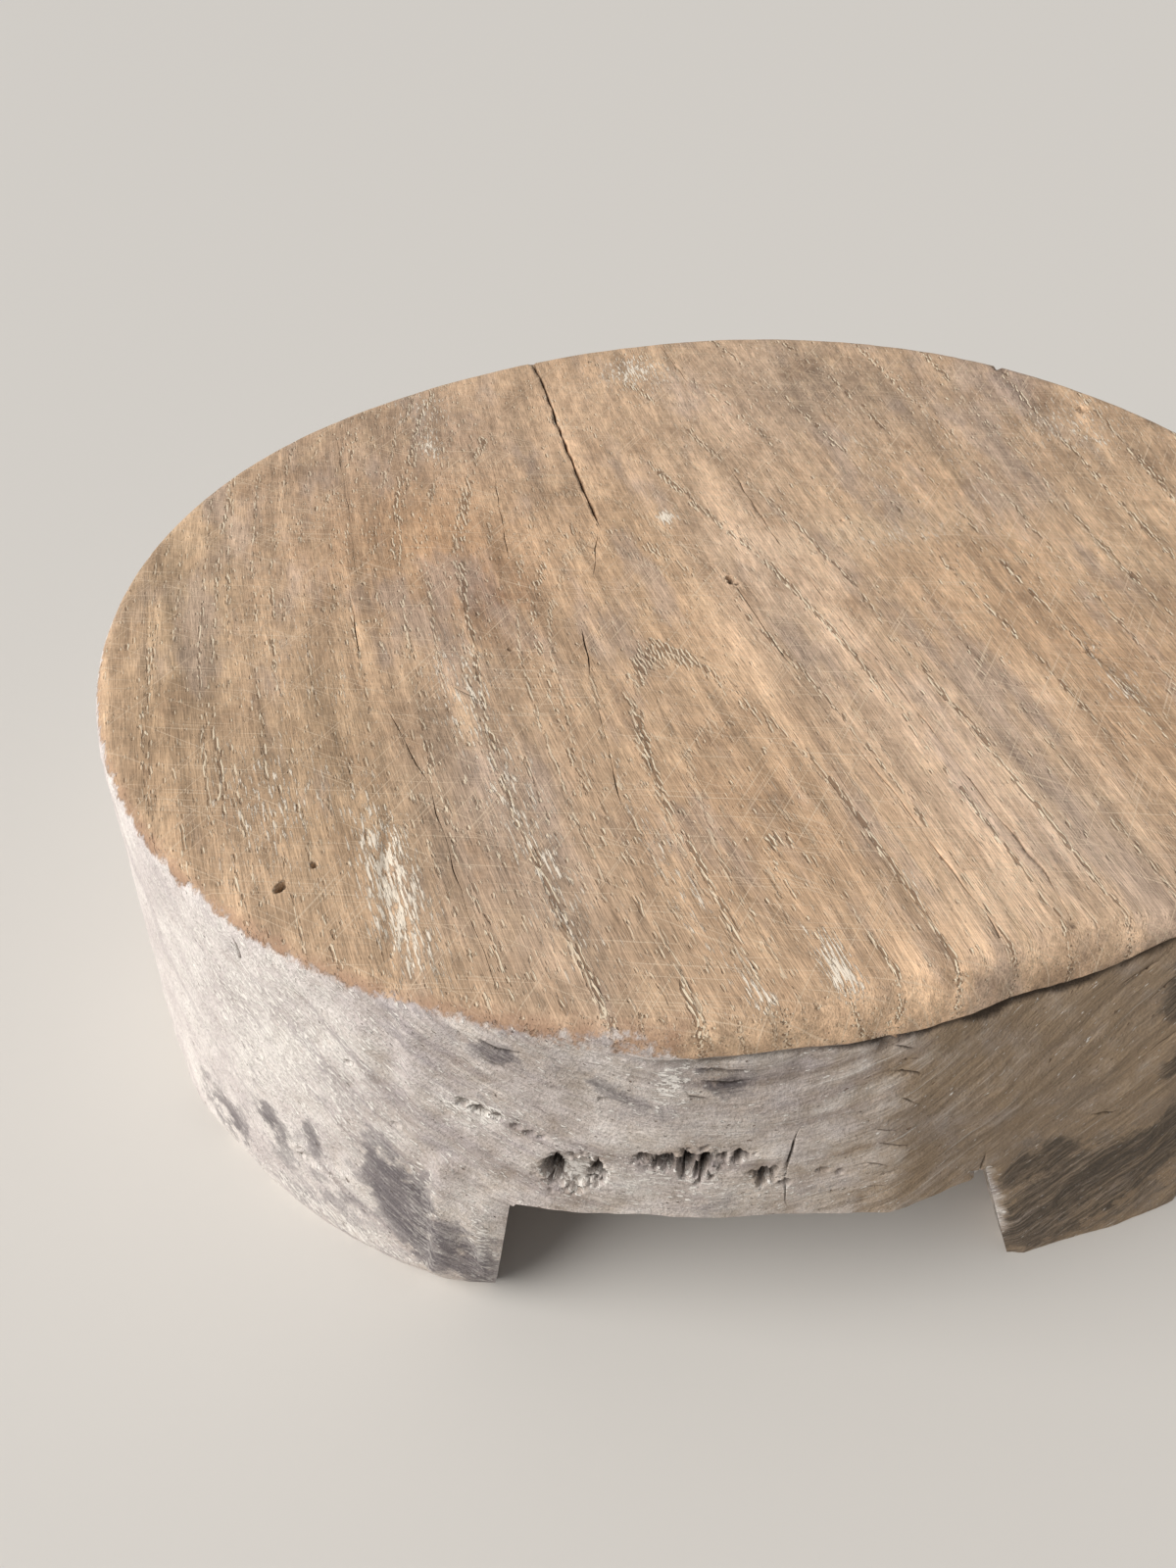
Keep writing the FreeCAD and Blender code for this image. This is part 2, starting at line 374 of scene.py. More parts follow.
# Tones of the working face: middle (x, y), half sizes across and along the grain, colour, strength.
FACE_TONES = (
    (30, 115, 24, 50, (0.40, 0.29, 0.21), 0.8),
    (105, 118, 7, 22, (0.23, 0.17, 0.15), 0.8),
    (88, 60, 9, 60, (0.42, 0.29, 0.20), 0.6),
    (-40, 70, 22, 45, (0.68, 0.46, 0.30), 0.7),
    (-112, 60, 28, 50, (0.42, 0.29, 0.20), 0.7),
    (-82, 78, 15, 30, (0.43, 0.30, 0.22), 0.5),
    (-85, 10, 26, 36, (0.46, 0.27, 0.145), 0.8),
    (-66, -18, 10, 18, (0.29, 0.16, 0.09), 0.9),
    (-25, 0, 16, 48, (0.59, 0.38, 0.22), 0.6),
    (38, 14, 34, 9, (0.69, 0.51, 0.35), 0.55),
    (85, -30, 30, 60, (0.47, 0.28, 0.155), 0.6),
    (52, -80, 15, 38, (0.72, 0.53, 0.38), 0.6),
    (58, -112, 14, 20, (0.50, 0.37, 0.27), 0.6),
    # Painted light: this patch lightens the lip at the front right, whose rounded edge turns away from the
    # light.
    (28, -146, 26, 12, (0.84, 0.56, 0.35), 0.95),
    (38, -128, 16, 16, (0.78, 0.55, 0.37), 0.8),
    (46, -33, 15, 24, (0.51, 0.33, 0.20), 0.7),
    (100, 0, 18, 40, (0.58, 0.41, 0.27), 0.5),
    (-40, -140, 14, 20, (0.46, 0.32, 0.21), 0.5),
    (-6, -102, 18, 24, (0.57, 0.36, 0.21), 0.6),
    (-95, -85, 20, 42, (0.43, 0.29, 0.17), 0.65),
    (-60, -105, 13, 38, (0.50, 0.38, 0.30), 0.6),
    (-137, -70, 9, 45, (0.36, 0.23, 0.13), 0.6),
    (-145, -20, 12, 50, (0.55, 0.39, 0.24), 0.6),
    (9, -18, 15, 48, (0.78, 0.56, 0.40), 0.75),
    (35, -90, 13, 30, (0.74, 0.53, 0.38), 0.55),
    (2, 95, 13, 35, (0.67, 0.47, 0.33), 0.55),
    (66, 95, 14, 30, (0.37, 0.26, 0.18), 0.55),
)

# White residue on the working face: middle (x, y), half sizes across and along the grain, strength.
FACE_CHALK = (
    (-79, -122, 6.5, 28, 0.92),
    (-53, -108, 7, 45, 0.62),
    (-90, 70, 4, 12, 0.8),
    (-18.8, 23, 3.5, 4, 1.0),
    (82, -60, 6, 9, 0.55),
    (80, -44, 4, 6, 0.5),
    (114, 82, 20, 24, 0.52),
    (119, 70, 5, 9, 0.65),
    (50, 12, 26, 6, 0.45),
    (-24, 128, 14, 16, 0.75),
    (72, 60, 4, 60, 0.4),
    (-96, 98, 13, 28, 0.5),
    (-107, -97, 15, 24, 0.55),
    (-112, -45, 18, 40, 0.28),
    (-70, -60, 9, 26, 0.6),
    (3, -144, 4.5, 11, 0.95),
    (-12, -149, 2.5, 8, 0.8),
    (20, -122, 3, 10, 0.5),
    (-25, -120, 5, 35, 0.5),
    (45, 60, 8, 50, 0.35),
)

# How much lime wash is left on the wall, by turn.
LIME_COVER = (
    (-180, 0.95), (-150, 1.0), (-128, 0.82), (-118, 0.66), (-112, 0.59), (-100, 0.56), (-90, 0.49),
    (-84.5, 0.32), (-82.5, 0.17), (-70, 0.12), (-58, 0.10), (-30, 0.42), (0, 0.55), (45, 0.66), (90, 0.6),
    (140, 0.8),
)

# How strong the rusty brown of the rim is, by turn; round the front it also darkens the lower part of the
# lip as painted shade.
RUST_AND_SHADE_COVER = (
    (-180, 0.15), (-155, 0.5), (-140, 0.9), (-118, 0.9), (-105, 0.85), (-92, 0.85), (-84, 0.5),
    (-78, 0.2), (-60, 0.2), (0, 0.3), (90, 0.2),
)

# Dark stains on the wall: middle (turn, height), half sizes, slant to the right as it falls, strength.
WALL_STAINS = (
    (-136.8, 18, 13, 10, 0.1, 0.53),
    (-130.2, 35, 6.5, 14, 0.25, 0.52),
    (-125.8, 41, 3.5, 10, 0.3, 0.5),
    (-117.7, 31, 10, 22, 0.3, 0.76),
    (-113.3, 18, 6.0, 17, 0.1, 0.64),
    (-127, 22, 34, 21, 0.0, 0.35),
    (-105, 84, 5, 13, 1.4, 0.42),
    (-95, 80, 6, 12, 0.4, 0.36),
    (-96, 46, 9, 4, 0.0, 0.35),
    (-89, 47, 8, 5, 0.0, 0.40),
    (-110.5, 89, 6, 4, 0.6, 0.55),
    (-96.5, 83, 5, 5, 0.4, 0.6),
    (-70, 37, 10, 7, -0.4, 0.9),
    (-65, 20, 20, 17, -0.5, 1.0),
    (-64, 18, 40, 24, 0.0, 0.44),
    (-58, 30, 14, 16, -0.6, 0.9),
    (-72, 12, 10, 12, 0.0, 0.7),
    (-48, 22, 14, 16, 0.0, 0.6),
    # These two patches paint a torn, fibrous patch: its dark fibres, and the shadows between them as painted
    # shade.
    (-60.4, 80, 5, 10, -0.4, 0.72),
    (-58.6, 62, 6, 10, -0.4, 0.75),
    (-30, 60, 20, 14, 0.2, 0.35),
    (0, 16, 40, 16, 0.0, 0.42),
    (30, 70, 18, 12, 0.0, 0.35),
    (55, 18, 34, 18, 0.2, 0.42),
    (92, 60, 18, 10, 0.0, 0.4),
    (130, 20, 36, 18, 0.1, 0.42),
    (160, 64, 20, 10, 0.2, 0.3),
    (-172, 24, 26, 20, 0.2, 0.42),
)

# How steeply the tool's strokes fall along the wall, by turn.
STROKE_FALL = (
    (-180, 0.8), (-150, 1.2), (-122, 1.1), (-108, 0.7), (-94, 0.1), (-84, -0.3), (-75, -0.6), (-45, -0.6),
    (-10, 0.5), (40, 0.2), (90, -0.6), (140, -0.5),
)

# White residue on the wall: middle (turn, height), half width, half height, strength.
WALL_CHALK = (
    (-105.8, 56.5, 3.5, 5.0, 1.0),
    (-102, 56, 16, 5, 0.5),
    (-97, 52, 16, 4, 0.45),
    (-112, 71, 7, 4, 0.8),
    (-116.6, 30, 3, 20, 0.6),
    (-112.6, 24, 2, 14, 0.7),
    (-99.8, 84, 2.5, 6, 0.9),
    (-126, 12, 20, 4, 0.6),
    (-128, 70, 24, 24, 0.5),
)


def by_turn(table, degrees):
    """A value set at a few turns round the board, at any turn between them."""
    turns, values = zip(*table)
    return np.interp(degrees, turns, values, period=360)


def ease(value):
    """A smooth step from 0 to 1."""
    held = np.clip(value, 0, 1)
    return held * held * (3 - 2 * held)


def extend(rows, last=0.0):
    """Rows of numbers with one more number at the end of each."""
    return np.column_stack([rows, np.broadcast_to(last, len(rows))])


def unroll(degrees, height):
    """Wall places by turn and height, as flat lengths on the unrolled wall."""
    return np.column_stack(np.broadcast_arrays(np.asarray(degrees) * ONE_DEGREE, height))


def turns_of(points):
    """The turn at which each point lies."""
    return np.degrees(np.arctan2(points[:, 1], points[:, 0]))


def raise_to(values, numbers, least):
    """Raise some of the values to at least the given ones."""
    values[numbers] = np.maximum(values[numbers], least)


def lumps(points, size, seed, octaves=2):
    """Fractal noise of about -1 to 1 at each point, in lumps of the given size."""
    shift = Vector((3.7 * seed, 11.3 * seed, 7.9 * seed))
    scaled = np.asarray(points, float) / np.asarray(size, float)
    return np.array([noise.fractal(Vector(place) + shift, 1.0, 2.0, octaves) for place in scaled])


def roughness(points, table):
    """Lumps added up: each row of the table has a height, and what the lumps take."""
    return sum(height * lumps(points, *rest) for height, *rest in table)


Groove = namedtuple("Groove", "line half depth widest")


def groove(places, half, depth, gaping, seed):
    """A wandering groove along a few places, which narrows where it doesn't gape."""
    chance = np.random.default_rng(seed)
    corners = np.asarray(places, float)
    lengths = np.hypot(*np.diff(corners, axis=0).T)
    reached = np.concatenate([[0], np.cumsum(lengths)])
    whole = reached[-1]
    stations = np.linspace(0, whole, max(3, int(whole / GROOVE_STEP)))
    line = np.stack([np.interp(stations, reached, corners[:, axis]) for axis in (0, 1)], axis=1)
    knots = np.linspace(0, whole, max(4, int(whole / SWAY_STEP)))
    for axis, sway in enumerate(GROOVE_SWAY):
        line[:, axis] += np.interp(stations, knots, chance.uniform(-sway, sway, len(knots)))
    opening = np.interp(stations, knots, chance.uniform(0.25, 1.0, len(knots)) < gaping)
    strength = np.interp(stations, knots, chance.uniform(0.6, 1.0, len(knots)))
    taper = min(GROOVE_TAPER, 0.3 * whole)
    ends = np.minimum(1, np.minimum(stations, whole - stations) / taper + 0.15)
    width = half * (GROOVE_NARROW + (1 - GROOVE_NARROW) * opening) * strength * ends
    return Groove(line, width, depth, half)


def near_box(points, line, margin):
    """The numbers of the points that lie in the box round a line, grown by a margin."""
    low = line.min(axis=0) - margin
    high = line.max(axis=0) + margin
    return np.nonzero(((points >= low) & (points <= high)).all(axis=1))[0]


def from_line(points, line, values):
    """Distance of each point from a broken line, and the line's value at the nearest place."""
    best = np.full(len(points), np.inf)
    value = np.zeros(len(points))
    for start, end, first, last in zip(line[:-1], line[1:], values[:-1], values[1:]):
        run = end - start
        share = np.clip((points - start) @ run / (run @ run), 0, 1)
        distance = np.hypot(*(points - start - share[:, None] * run).T)
        closer = distance < best
        best[closer] = distance[closer]
        value[closer] = (first + share * (last - first))[closer]
    return best, value


def cut_depth(points, grooves, hollows, seed):
    """How deep grooves and ragged hollows cut at each flat point, and how much painted shade it gets there.
    """
    depth = np.zeros(len(points))
    dark = np.zeros(len(points))
    for cut in grooves:
        close = near_box(points, cut.line, cut.widest + 0.2)
        if len(close) == 0:
            continue
        distance, half = from_line(points[close], cut.line, cut.half)
        bank = np.clip(1 - distance / np.maximum(half, 0.03), 0, 1)
        openness = half / cut.widest
        raise_to(depth, close, cut.depth * openness * np.sqrt(bank))
        # Painted shade: the open middle of a groove is darkened as if shadowed.
        raise_to(dark, close, np.minimum(1, 1.6 * bank) * np.minimum(1, 1.5 * openness))
    for x, y, half_x, half_y, deep in hollows:
        close = near_box(points, np.array([[x, y]]), 1.6 * max(half_x, half_y))
        if len(close) == 0:
            continue
        offset = (points[close] - (x, y)) / (half_x, half_y)
        solid = extend(points[close], 3.0 * deep)
        ragged = 0.60 * lumps(solid, 1.5, seed, 3) + 0.22 * lumps(solid, (0.8, 2.6, 5.0), seed + 1)
        pit = ease(2.6 * (1.0 - np.hypot(*offset.T) + ragged))
        raise_to(depth, close, deep * pit)
        # Painted shade: a hollow darkens towards its middle, more the deeper it is.
        raise_to(dark, close, ease(1.6 * pit - 0.2) * min(1, deep / SHADE_DEPTH) ** 1.5)
    return depth, dark


face_grooves = [groove(*row, seed) for seed, row in enumerate(FACE_CRACKS)]
wall_grooves = [
    groove(unroll(*zip(*places)), *rest, seed)
    for seed, (places, *rest) in enumerate(WALL_GASHES, start=FIRST_WALL_SEED)
]
wall_hollows = [(turn * ONE_DEGREE, *rest) for turn, *rest in WALL_HOLLOWS]
wall_ridges = [(unroll(*zip(*places)), half, raised) for places, half, raised in WALL_RIDGES]


def rim_radius(degrees):
    """Radius of the rim's outline."""
    turn = np.radians(degrees)
    share = 1.0
    for waves, cosine, sine in RIM_WAVES:
        share = share + cosine * np.cos(waves * turn) + sine * np.sin(waves * turn)
    return MEAN_RADIUS * share + by_turn(RIM_SWELL, degrees)


def flat_depth(degrees):
    """How far the hewn flats lie behind the oval."""
    starts = np.array([start for start, _ in FLATS] + [FLATS[0][0] + 360.0])
    flatness = np.array([share for _, share in FLATS])
    wrapped = (np.asarray(degrees, float) - starts[0]) % 360 + starts[0]
    which = np.clip(np.searchsorted(starts, wrapped, side="right") - 1, 0, len(flatness) - 1)
    width = starts[which + 1] - starts[which]
    across = 2 * (wrapped - starts[which]) / width - 1
    sagitta = MEAN_RADIUS * (1 - np.cos(np.radians(width / 2)))
    return flatness[which] * sagitta * (1 - across ** 2)


def face_relief(plan):
    """Height of the working face over its level at each plan point, and how much painted shade its cracks
    and hollows give it.
    """
    solid = extend(plan)
    height = roughness(solid, FACE_WAVES)
    height -= FACE_DISH * (1 - (np.hypot(*plan.T) / MEAN_RADIUS) ** 2)
    depth, dark = cut_depth(plan, face_grooves, FACE_HOLLOWS, FACE_SEED)
    track = np.array(GOUGE)
    close = near_box(plan, track[:, :2], GOUGE_REACH)
    if len(close):
        distance, half = from_line(plan[close], track[:, :2], track[:, 2])
        trough = ease(1.4 * (1 - distance / half))
        uneven = 0.75 + 0.5 * lumps(solid[close], (1.6, 14, 5), 5)
        raise_to(depth, close, trough * GOUGE_DEPTH * uneven)
    return height - depth, dark


def inner_face(foot, height):
    """Where a foot's leaning inner face lies across the board."""
    return foot.side * (foot.reach + foot.lean * (1 - height / JOIN_HEIGHT))


def corner_wear(foot, degrees, height):
    """How close each wall place is to the near edge of a foot's inner face: 1 on it, 0 past its wear."""
    x = (rim_radius(degrees) + WALL_OUT) * np.cos(np.radians(degrees))
    past = foot.side * (x - inner_face(foot, height))
    near_end = (np.sin(np.radians(degrees)) < 0) & (height < JOIN_HEIGHT + 1)
    return np.where(near_end & (past > -WALL_OUT), 1 - np.clip(past / foot.wear_width, 0, 1), 0)


def ridge_share(unrolled, line, half):
    """How far each wall place lies on a ridge, steep on its left and slowly falling off on its right."""
    x, height = unrolled.T
    line = line[np.argsort(line[:, 1])]
    offset = x - np.interp(height, line[:, 1], line[:, 0])
    ends = ease((height - line[0, 1]) / RIDGE_END) * ease((line[-1, 1] - height) / RIDGE_END)
    return ends * np.where(offset < 0, ease(1 + offset / half), ease(1 - offset / (RIDGE_FALL * half)))


def slit_depth(degrees, height, solid):
    """How deep the slit under the lip cuts into the wall. It is deepest right under the lip, and broken."""
    broken = lumps(extend(unroll(degrees, 0.0)), 13, 15)
    depth = by_turn(LIP_SLIT, degrees) * np.clip(1 + 1.1 * broken, 0.3, 2)
    under = by_turn(SLIT_HEIGHT, degrees) + 0.6 * lumps(solid, 16, 16) - height
    drop = SLIT_DROP * np.clip(1 + 0.9 * broken + 0.4 * lumps(solid, 5, 17), 0.35, 2)
    return depth * ease(under + 0.6) * np.clip(1 - under / drop, 0, 1)


def wall_relief(degrees, height):
    """How far the wall stands out past the rim's outline at each place, and how much painted shade its
    gashes, hollows and the slit under the lip give it.
    """
    turn = np.radians(degrees)
    solid = np.column_stack([MEAN_RADIUS * np.cos(turn), MEAN_RADIUS * np.sin(turn), height])
    unrolled = unroll(degrees, height)
    along = unrolled[:, 0]
    out = by_turn(WALL_LEAN, degrees) * (1 - height / BOARD_HEIGHT)
    out = out - flat_depth(degrees) * ease((BOARD_HEIGHT - height) / FLAT_FADE)
    bevel = np.clip(1 - height / (BEVEL_HEIGHT + 2.0 * lumps(solid, 25, 11)), 0, 1)
    out = out - by_turn(SOLE_BEVEL, degrees) * bevel ** 1.3
    slanted = extend(np.column_stack([along + 0.8 * height, 3.0 * height - along]))
    rough = roughness(solid, WALL_WAVES) + roughness(slanted, STROKE_WAVES)
    out = out + rough * ease((BOARD_HEIGHT - height) / ROUGH_FADE)
    slit = slit_depth(degrees, height, solid)
    out = out - slit - by_turn(LIP_INSET, degrees) * ease((height - INSET_FROM) / INSET_RISE)
    for foot in FEET:
        out = out - foot.wear_depth * corner_wear(foot, degrees, height)
    for line, half, raised in wall_ridges:
        out = out + raised * ridge_share(unrolled, line, half)
    depth, dark = cut_depth(unrolled, wall_grooves, wall_hollows, WALL_SEED)
    # Painted shadow under the lip: the slit is darkened most where it cuts deepest.
    return out - depth, np.maximum(dark, np.clip(1.7 * slit - 0.2, 0, 0.95))


def skin_places(degrees, climb):
    """Places on the outer skin. Climb is the height up the wall and then the way over the worn rim.
    Gives the points, how far over the rim each lies (0 to 1), and how much painted shade each gets."""
    worn = by_turn(RIM_ROUND, degrees)
    wall_top = BOARD_HEIGHT - worn
    over = np.clip((climb - wall_top) / worn, 0, math.pi / 2)
    height = np.minimum(climb, wall_top) + worn * np.sin(over)
    relief, wall_shade = wall_relief(degrees, np.minimum(height, wall_top + 0.6 * worn))
    reach = by_turn(RIM_REACH, degrees)
    radius = rim_radius(degrees) - reach * (1 - np.cos(over)) + relief * np.cos(over)
    turn = np.radians(degrees)
    plan = radius[:, None] * np.column_stack([np.cos(turn), np.sin(turn)])
    raised, face_shade = face_relief(plan)
    share = np.sin(over) ** 2
    points = extend(plan, height + raised * share)
    return points, over / (math.pi / 2), np.maximum(wall_shade * (1 - share), face_shade * share)


def rim_climb(degrees):
    """The climb at which the skin reaches the working face."""
    return BOARD_HEIGHT + by_turn(RIM_ROUND, degrees) * (math.pi / 2 - 1)


def roof_height(plan):
    """Height of the slab's underside: level over the feet, and uneven over the channel."""
    x, y = plan.T
    far = np.clip((y + ROOF_END) / (2 * ROOF_END), 0, 1)
    near_rise = np.interp(x, *zip(*ROOF_NEAR))
    far_rise = np.interp(x, *zip(*ROOF_FAR))
    rise = near_rise * (1 - far) + far_rise * far + roughness(extend(plan), ROOF_WAVES)
    inside = np.minimum(x + LEFT_FOOT.reach, RIGHT_FOOT.reach - x)
    return JOIN_HEIGHT + rise * ease(inside / ROOF_EASE)


def turn_at_face(foot, height, low, high):
    """The turns between two others at which the wall meets a foot's inner face."""
    below = np.full(len(height), float(low))
    above = np.full(len(height), float(high))
    target = inner_face(foot, height)
    rising = math.cos(math.radians(high)) > math.cos(math.radians(low))
    for _ in range(HALVINGS):
        middle = (below + above) / 2
        points, _, _ = skin_places(middle, height)
        short = (points[:, 0] < target) == rising
        below = np.where(short, middle, below)
        above = np.where(short, above, middle)
    return (below + above) / 2


class Shell:
    """Points and triangles of the whole block, so that its pieces share their points where they meet."""

    def __init__(self):
        self.points = np.zeros((0, 3))
        self.over = np.zeros(0)
        self.dark = np.zeros(0)
        self.faces = []

    def add(self, points, over=0.0, dark=0.0):
        """Add points, and give their numbers."""
        amount = len(points)
        self.points = np.concatenate([self.points, points])
        self.over = np.concatenate([self.over, np.broadcast_to(over, amount)])
        self.dark = np.concatenate([self.dark, np.broadcast_to(dark, amount)])
        return np.arange(len(self.points) - amount, len(self.points))

    def add_skin(self, degrees, climb):
        """Add points of the outer skin, and give their numbers."""
        return self.add(*skin_places(degrees, climb))

    def fill(self, loop, loop_flat, inner, inner_flat, piece, skin, turned=False):
        """Cover a flat patch with triangles: a loop of points that runs round it, and those inside."""
        numbers = np.concatenate([loop, inner])
        places = [Vector(place) for place in np.concatenate([loop_flat, inner_flat])]
        _, _, triangles, origins, _, _ = delaunay_2d_cdt(places, [], [list(range(len(loop)))], 1, 1e-7)
        if any(len(origin) == 0 for origin in origins):
            raise RuntimeError(f"the edge of a {skin} patch of {piece} crosses itself")
        owner = np.array([origin[0] for origin in origins])
        faces = numbers[owner[np.array(triangles)]]
        self.faces.append((faces[:, ::-1] if turned else faces, piece, skin))


def inside_loop(points, loop, margin):
    """Which points lie inside a loop, and at least a margin away from its edge."""
    crossings = np.zeros(len(points), int)
    near = np.zeros(len(points), bool)
    x, y = points.T
    for start, end in zip(loop, np.roll(loop, -1, axis=0)):
        spans = (start[1] > y) != (end[1] > y)
        if start[1] != end[1]:
            at = start[0] + (y - start[1]) / (end[1] - start[1]) * (end[0] - start[0])
            crossings += spans & (x < at)
        edge = np.array([start, end])
        close = near_box(points, edge, margin)
        if len(close):
            distance, _ = from_line(points[close], edge, np.zeros(2))
            near[close] |= distance < margin
    return (crossings % 2 == 1) & ~near


def spread(loop, spacing, seed):
    """Points spread evenly, but not in a plain grid, inside a loop."""
    chance = np.random.default_rng(seed)
    low = loop.min(axis=0)
    high = loop.max(axis=0)
    rows = np.arange(low[1], high[1], spacing * ROW_SHARE)
    x, y = np.meshgrid(np.arange(low[0], high[0], spacing), rows)
    x = x + (np.arange(len(rows)) % 2)[:, None] * spacing / 2
    points = np.column_stack([x.ravel(), y.ravel()])
    points += chance.uniform(-JITTER, JITTER, points.shape) * spacing
    return points[inside_loop(points, loop, MARGIN_SHARE * spacing)]


def groove_rows(cut):
    """Rows of points along a groove, close enough to shape its banks."""
    direction = np.gradient(cut.line, axis=0)
    direction /= np.maximum(np.hypot(*direction.T), 1e-9)[:, None]
    across = np.column_stack([-direction[:, 1], direction[:, 0]])
    rows = [cut.line]
    for share, beyond in GROOVE_BANKS:
        offset = (share * cut.widest + beyond) * across
        rows += [cut.line + offset, cut.line - offset]
    return np.concatenate(rows)


def with_detail(loop, base, grooves, hollows, spacing, seed):
    """Evenly spread points, with closer ones put in their place round grooves and hollows."""
    keep = np.ones(len(base), bool)
    for cut in grooves:
        bare = cut.widest + GROOVE_CLEAR
        close = near_box(base, cut.line, bare)
        if len(close):
            distance, _ = from_line(base[close], cut.line, cut.half)
            keep[close] &= distance > bare
    base = base[keep]
    extra = np.concatenate([groove_rows(cut) for cut in grooves])
    for number, (x, y, half_x, half_y, _) in enumerate(hollows):
        reach = HOLLOW_SHARE * np.array([half_x, half_y]) + HOLLOW_EDGE
        box = np.array([(x, y) + reach * corner for corner in ((-1, -1), (1, -1), (1, 1), (-1, 1))])
        base = base[(np.abs(base - (x, y)) > reach).any(axis=1)]
        extra = extra[(np.abs(extra - (x, y)) > reach).any(axis=1)]
        extra = np.concatenate([extra, spread(box, spacing, seed + number)])
    extra = extra[inside_loop(extra, loop, DETAIL_MARGIN)]
    return np.concatenate([base, extra])


def build_block():
    """The whole block as one shell: outer skin, working face, underside, and the cut faces of the feet."""
    shell = Shell()
    join = np.array([JOIN_HEIGHT])
    ends = {foot: [turn_at_face(foot, join, *side)[0] for side in (foot.first, foot.last)] for foot in FEET}
    corners = np.concatenate(list(ends.values()))
    beside = np.concatenate([corners + step for step in CORNER_STEPS])
    ring = np.arange(SEAM_TURN, SEAM_TURN + 360, RING_STEP)
    clear = np.abs(ring[:, None] - corners).min(axis=1) > CORNER_CLEAR
    low_turns = np.sort(np.concatenate([ring[clear], beside]))
    on_foot = {foot: (low_turns >= first) & (low_turns <= last) for foot, (first, last) in ends.items()}
    over_feet = np.any(list(on_foot.values()), axis=0)

    climb = np.full(len(low_turns), JOIN_HEIGHT)
    for _ in range(2):
        points, _, _ = skin_places(low_turns, climb)
        climb = np.where(over_feet, JOIN_HEIGHT, roof_height(points[:, :2]))
    low_line = shell.add_skin(low_turns, climb)
    top_climb = rim_climb(ring)
    top_line = shell.add_skin(ring, top_climb)
    build_slab_skin(shell, low_line, unroll(low_turns, climb), top_line, unroll(ring, top_climb))
    build_face(shell, top_line)
    build_underside(shell, low_line)
    for foot in FEET:
        build_foot(shell, foot, low_turns[on_foot[foot]], low_line[on_foot[foot]])
    return shell


def slit_places():
    """Close rows of points on the unrolled wall, along the slit under the lip."""
    turns = np.arange(*SLIT_TURNS, SLIT_STEP)
    heights = by_turn(SLIT_HEIGHT, turns)
    return np.concatenate([unroll(turns, heights + step) for step in np.arange(*SLIT_ROWS)])


def build_slab_skin(shell, low_line, low_flat, top_line, top_flat):
    """The slab's wall and worn rim, from its lower edge up to the working face."""
    seam_climb = np.linspace(low_flat[0, 1], top_flat[0, 1], SEAM_POINTS)[1:-1]
    seam = shell.add_skin(np.full(len(seam_climb), SEAM_TURN), seam_climb)
    seam_flat = np.column_stack([np.full(len(seam), low_flat[0, 0]), seam_climb])
    lap = (360 * ONE_DEGREE, 0)
    loop = np.concatenate([low_line, low_line[:1], seam, top_line[:1], top_line[::-1], seam[::-1]])
    flat = np.concatenate([
        low_flat, low_flat[:1] + lap, seam_flat + lap, top_flat[:1] + lap, top_flat[::-1], seam_flat[::-1],
    ])
    base = spread(flat, *SPREAD["wall"])
    turns = base[:, 0] / ONE_DEGREE
    off_slit = np.abs(base[:, 1] - by_turn(SLIT_HEIGHT, turns) + SLIT_MIDDLE) > SLIT_REACH
    off_slit |= (turns < SLIT_TURNS[0] - SLIT_END) | (turns > SLIT_TURNS[1] + SLIT_END)
    base = np.concatenate([base[off_slit], slit_places()])
    inner = with_detail(flat, base, wall_grooves, wall_hollows, *CLOSE_SPREAD["wall"])
    numbers = shell.add_skin(inner[:, 0] / ONE_DEGREE, inner[:, 1])
    shell.fill(loop, flat, numbers, inner, "slab", "outer")


def build_face(shell, top_line):
    """The working face inside the worn rim."""
    flat = shell.points[top_line, :2]
    base = spread(flat, *SPREAD["face"])
    inner = with_detail(flat, base, face_grooves, FACE_HOLLOWS, *CLOSE_SPREAD["face"])
    extra = spread(np.array(GOUGE_LOOP), *SPREAD["gouge"])
    inner = np.concatenate([inner, extra[inside_loop(extra, flat, GOUGE_MARGIN)]])
    relief, dark = face_relief(inner)
    numbers = shell.add(extend(inner, BOARD_HEIGHT + relief), 1.0, dark)
    shell.fill(top_line, flat, numbers, inner, "slab", "outer")


def build_underside(shell, low_line):
    """The slab's underside: the channel's roof, and the faces that meet the feet."""
    flat = shell.points[low_line, :2]
    inner = spread(flat, *SPREAD["under"])
    along = np.arange(-MEAN_RADIUS, MEAN_RADIUS, EDGE_SPACING)
    for edge in (-LEFT_FOOT.reach, RIGHT_FOOT.reach):
        inner = inner[np.abs(inner[:, 0] - edge) > EDGE_CLEAR]
        rows = np.concatenate([
            np.column_stack([np.full(len(along), edge + step), along]) for step in EDGE_ROWS
        ])
        inner = np.concatenate([inner, rows[inside_loop(rows, flat, EDGE_MARGIN)]])
    numbers = shell.add(extend(inner, roof_height(inner)))
    shell.fill(low_line, flat, numbers, inner, "slab", "under", turned=True)


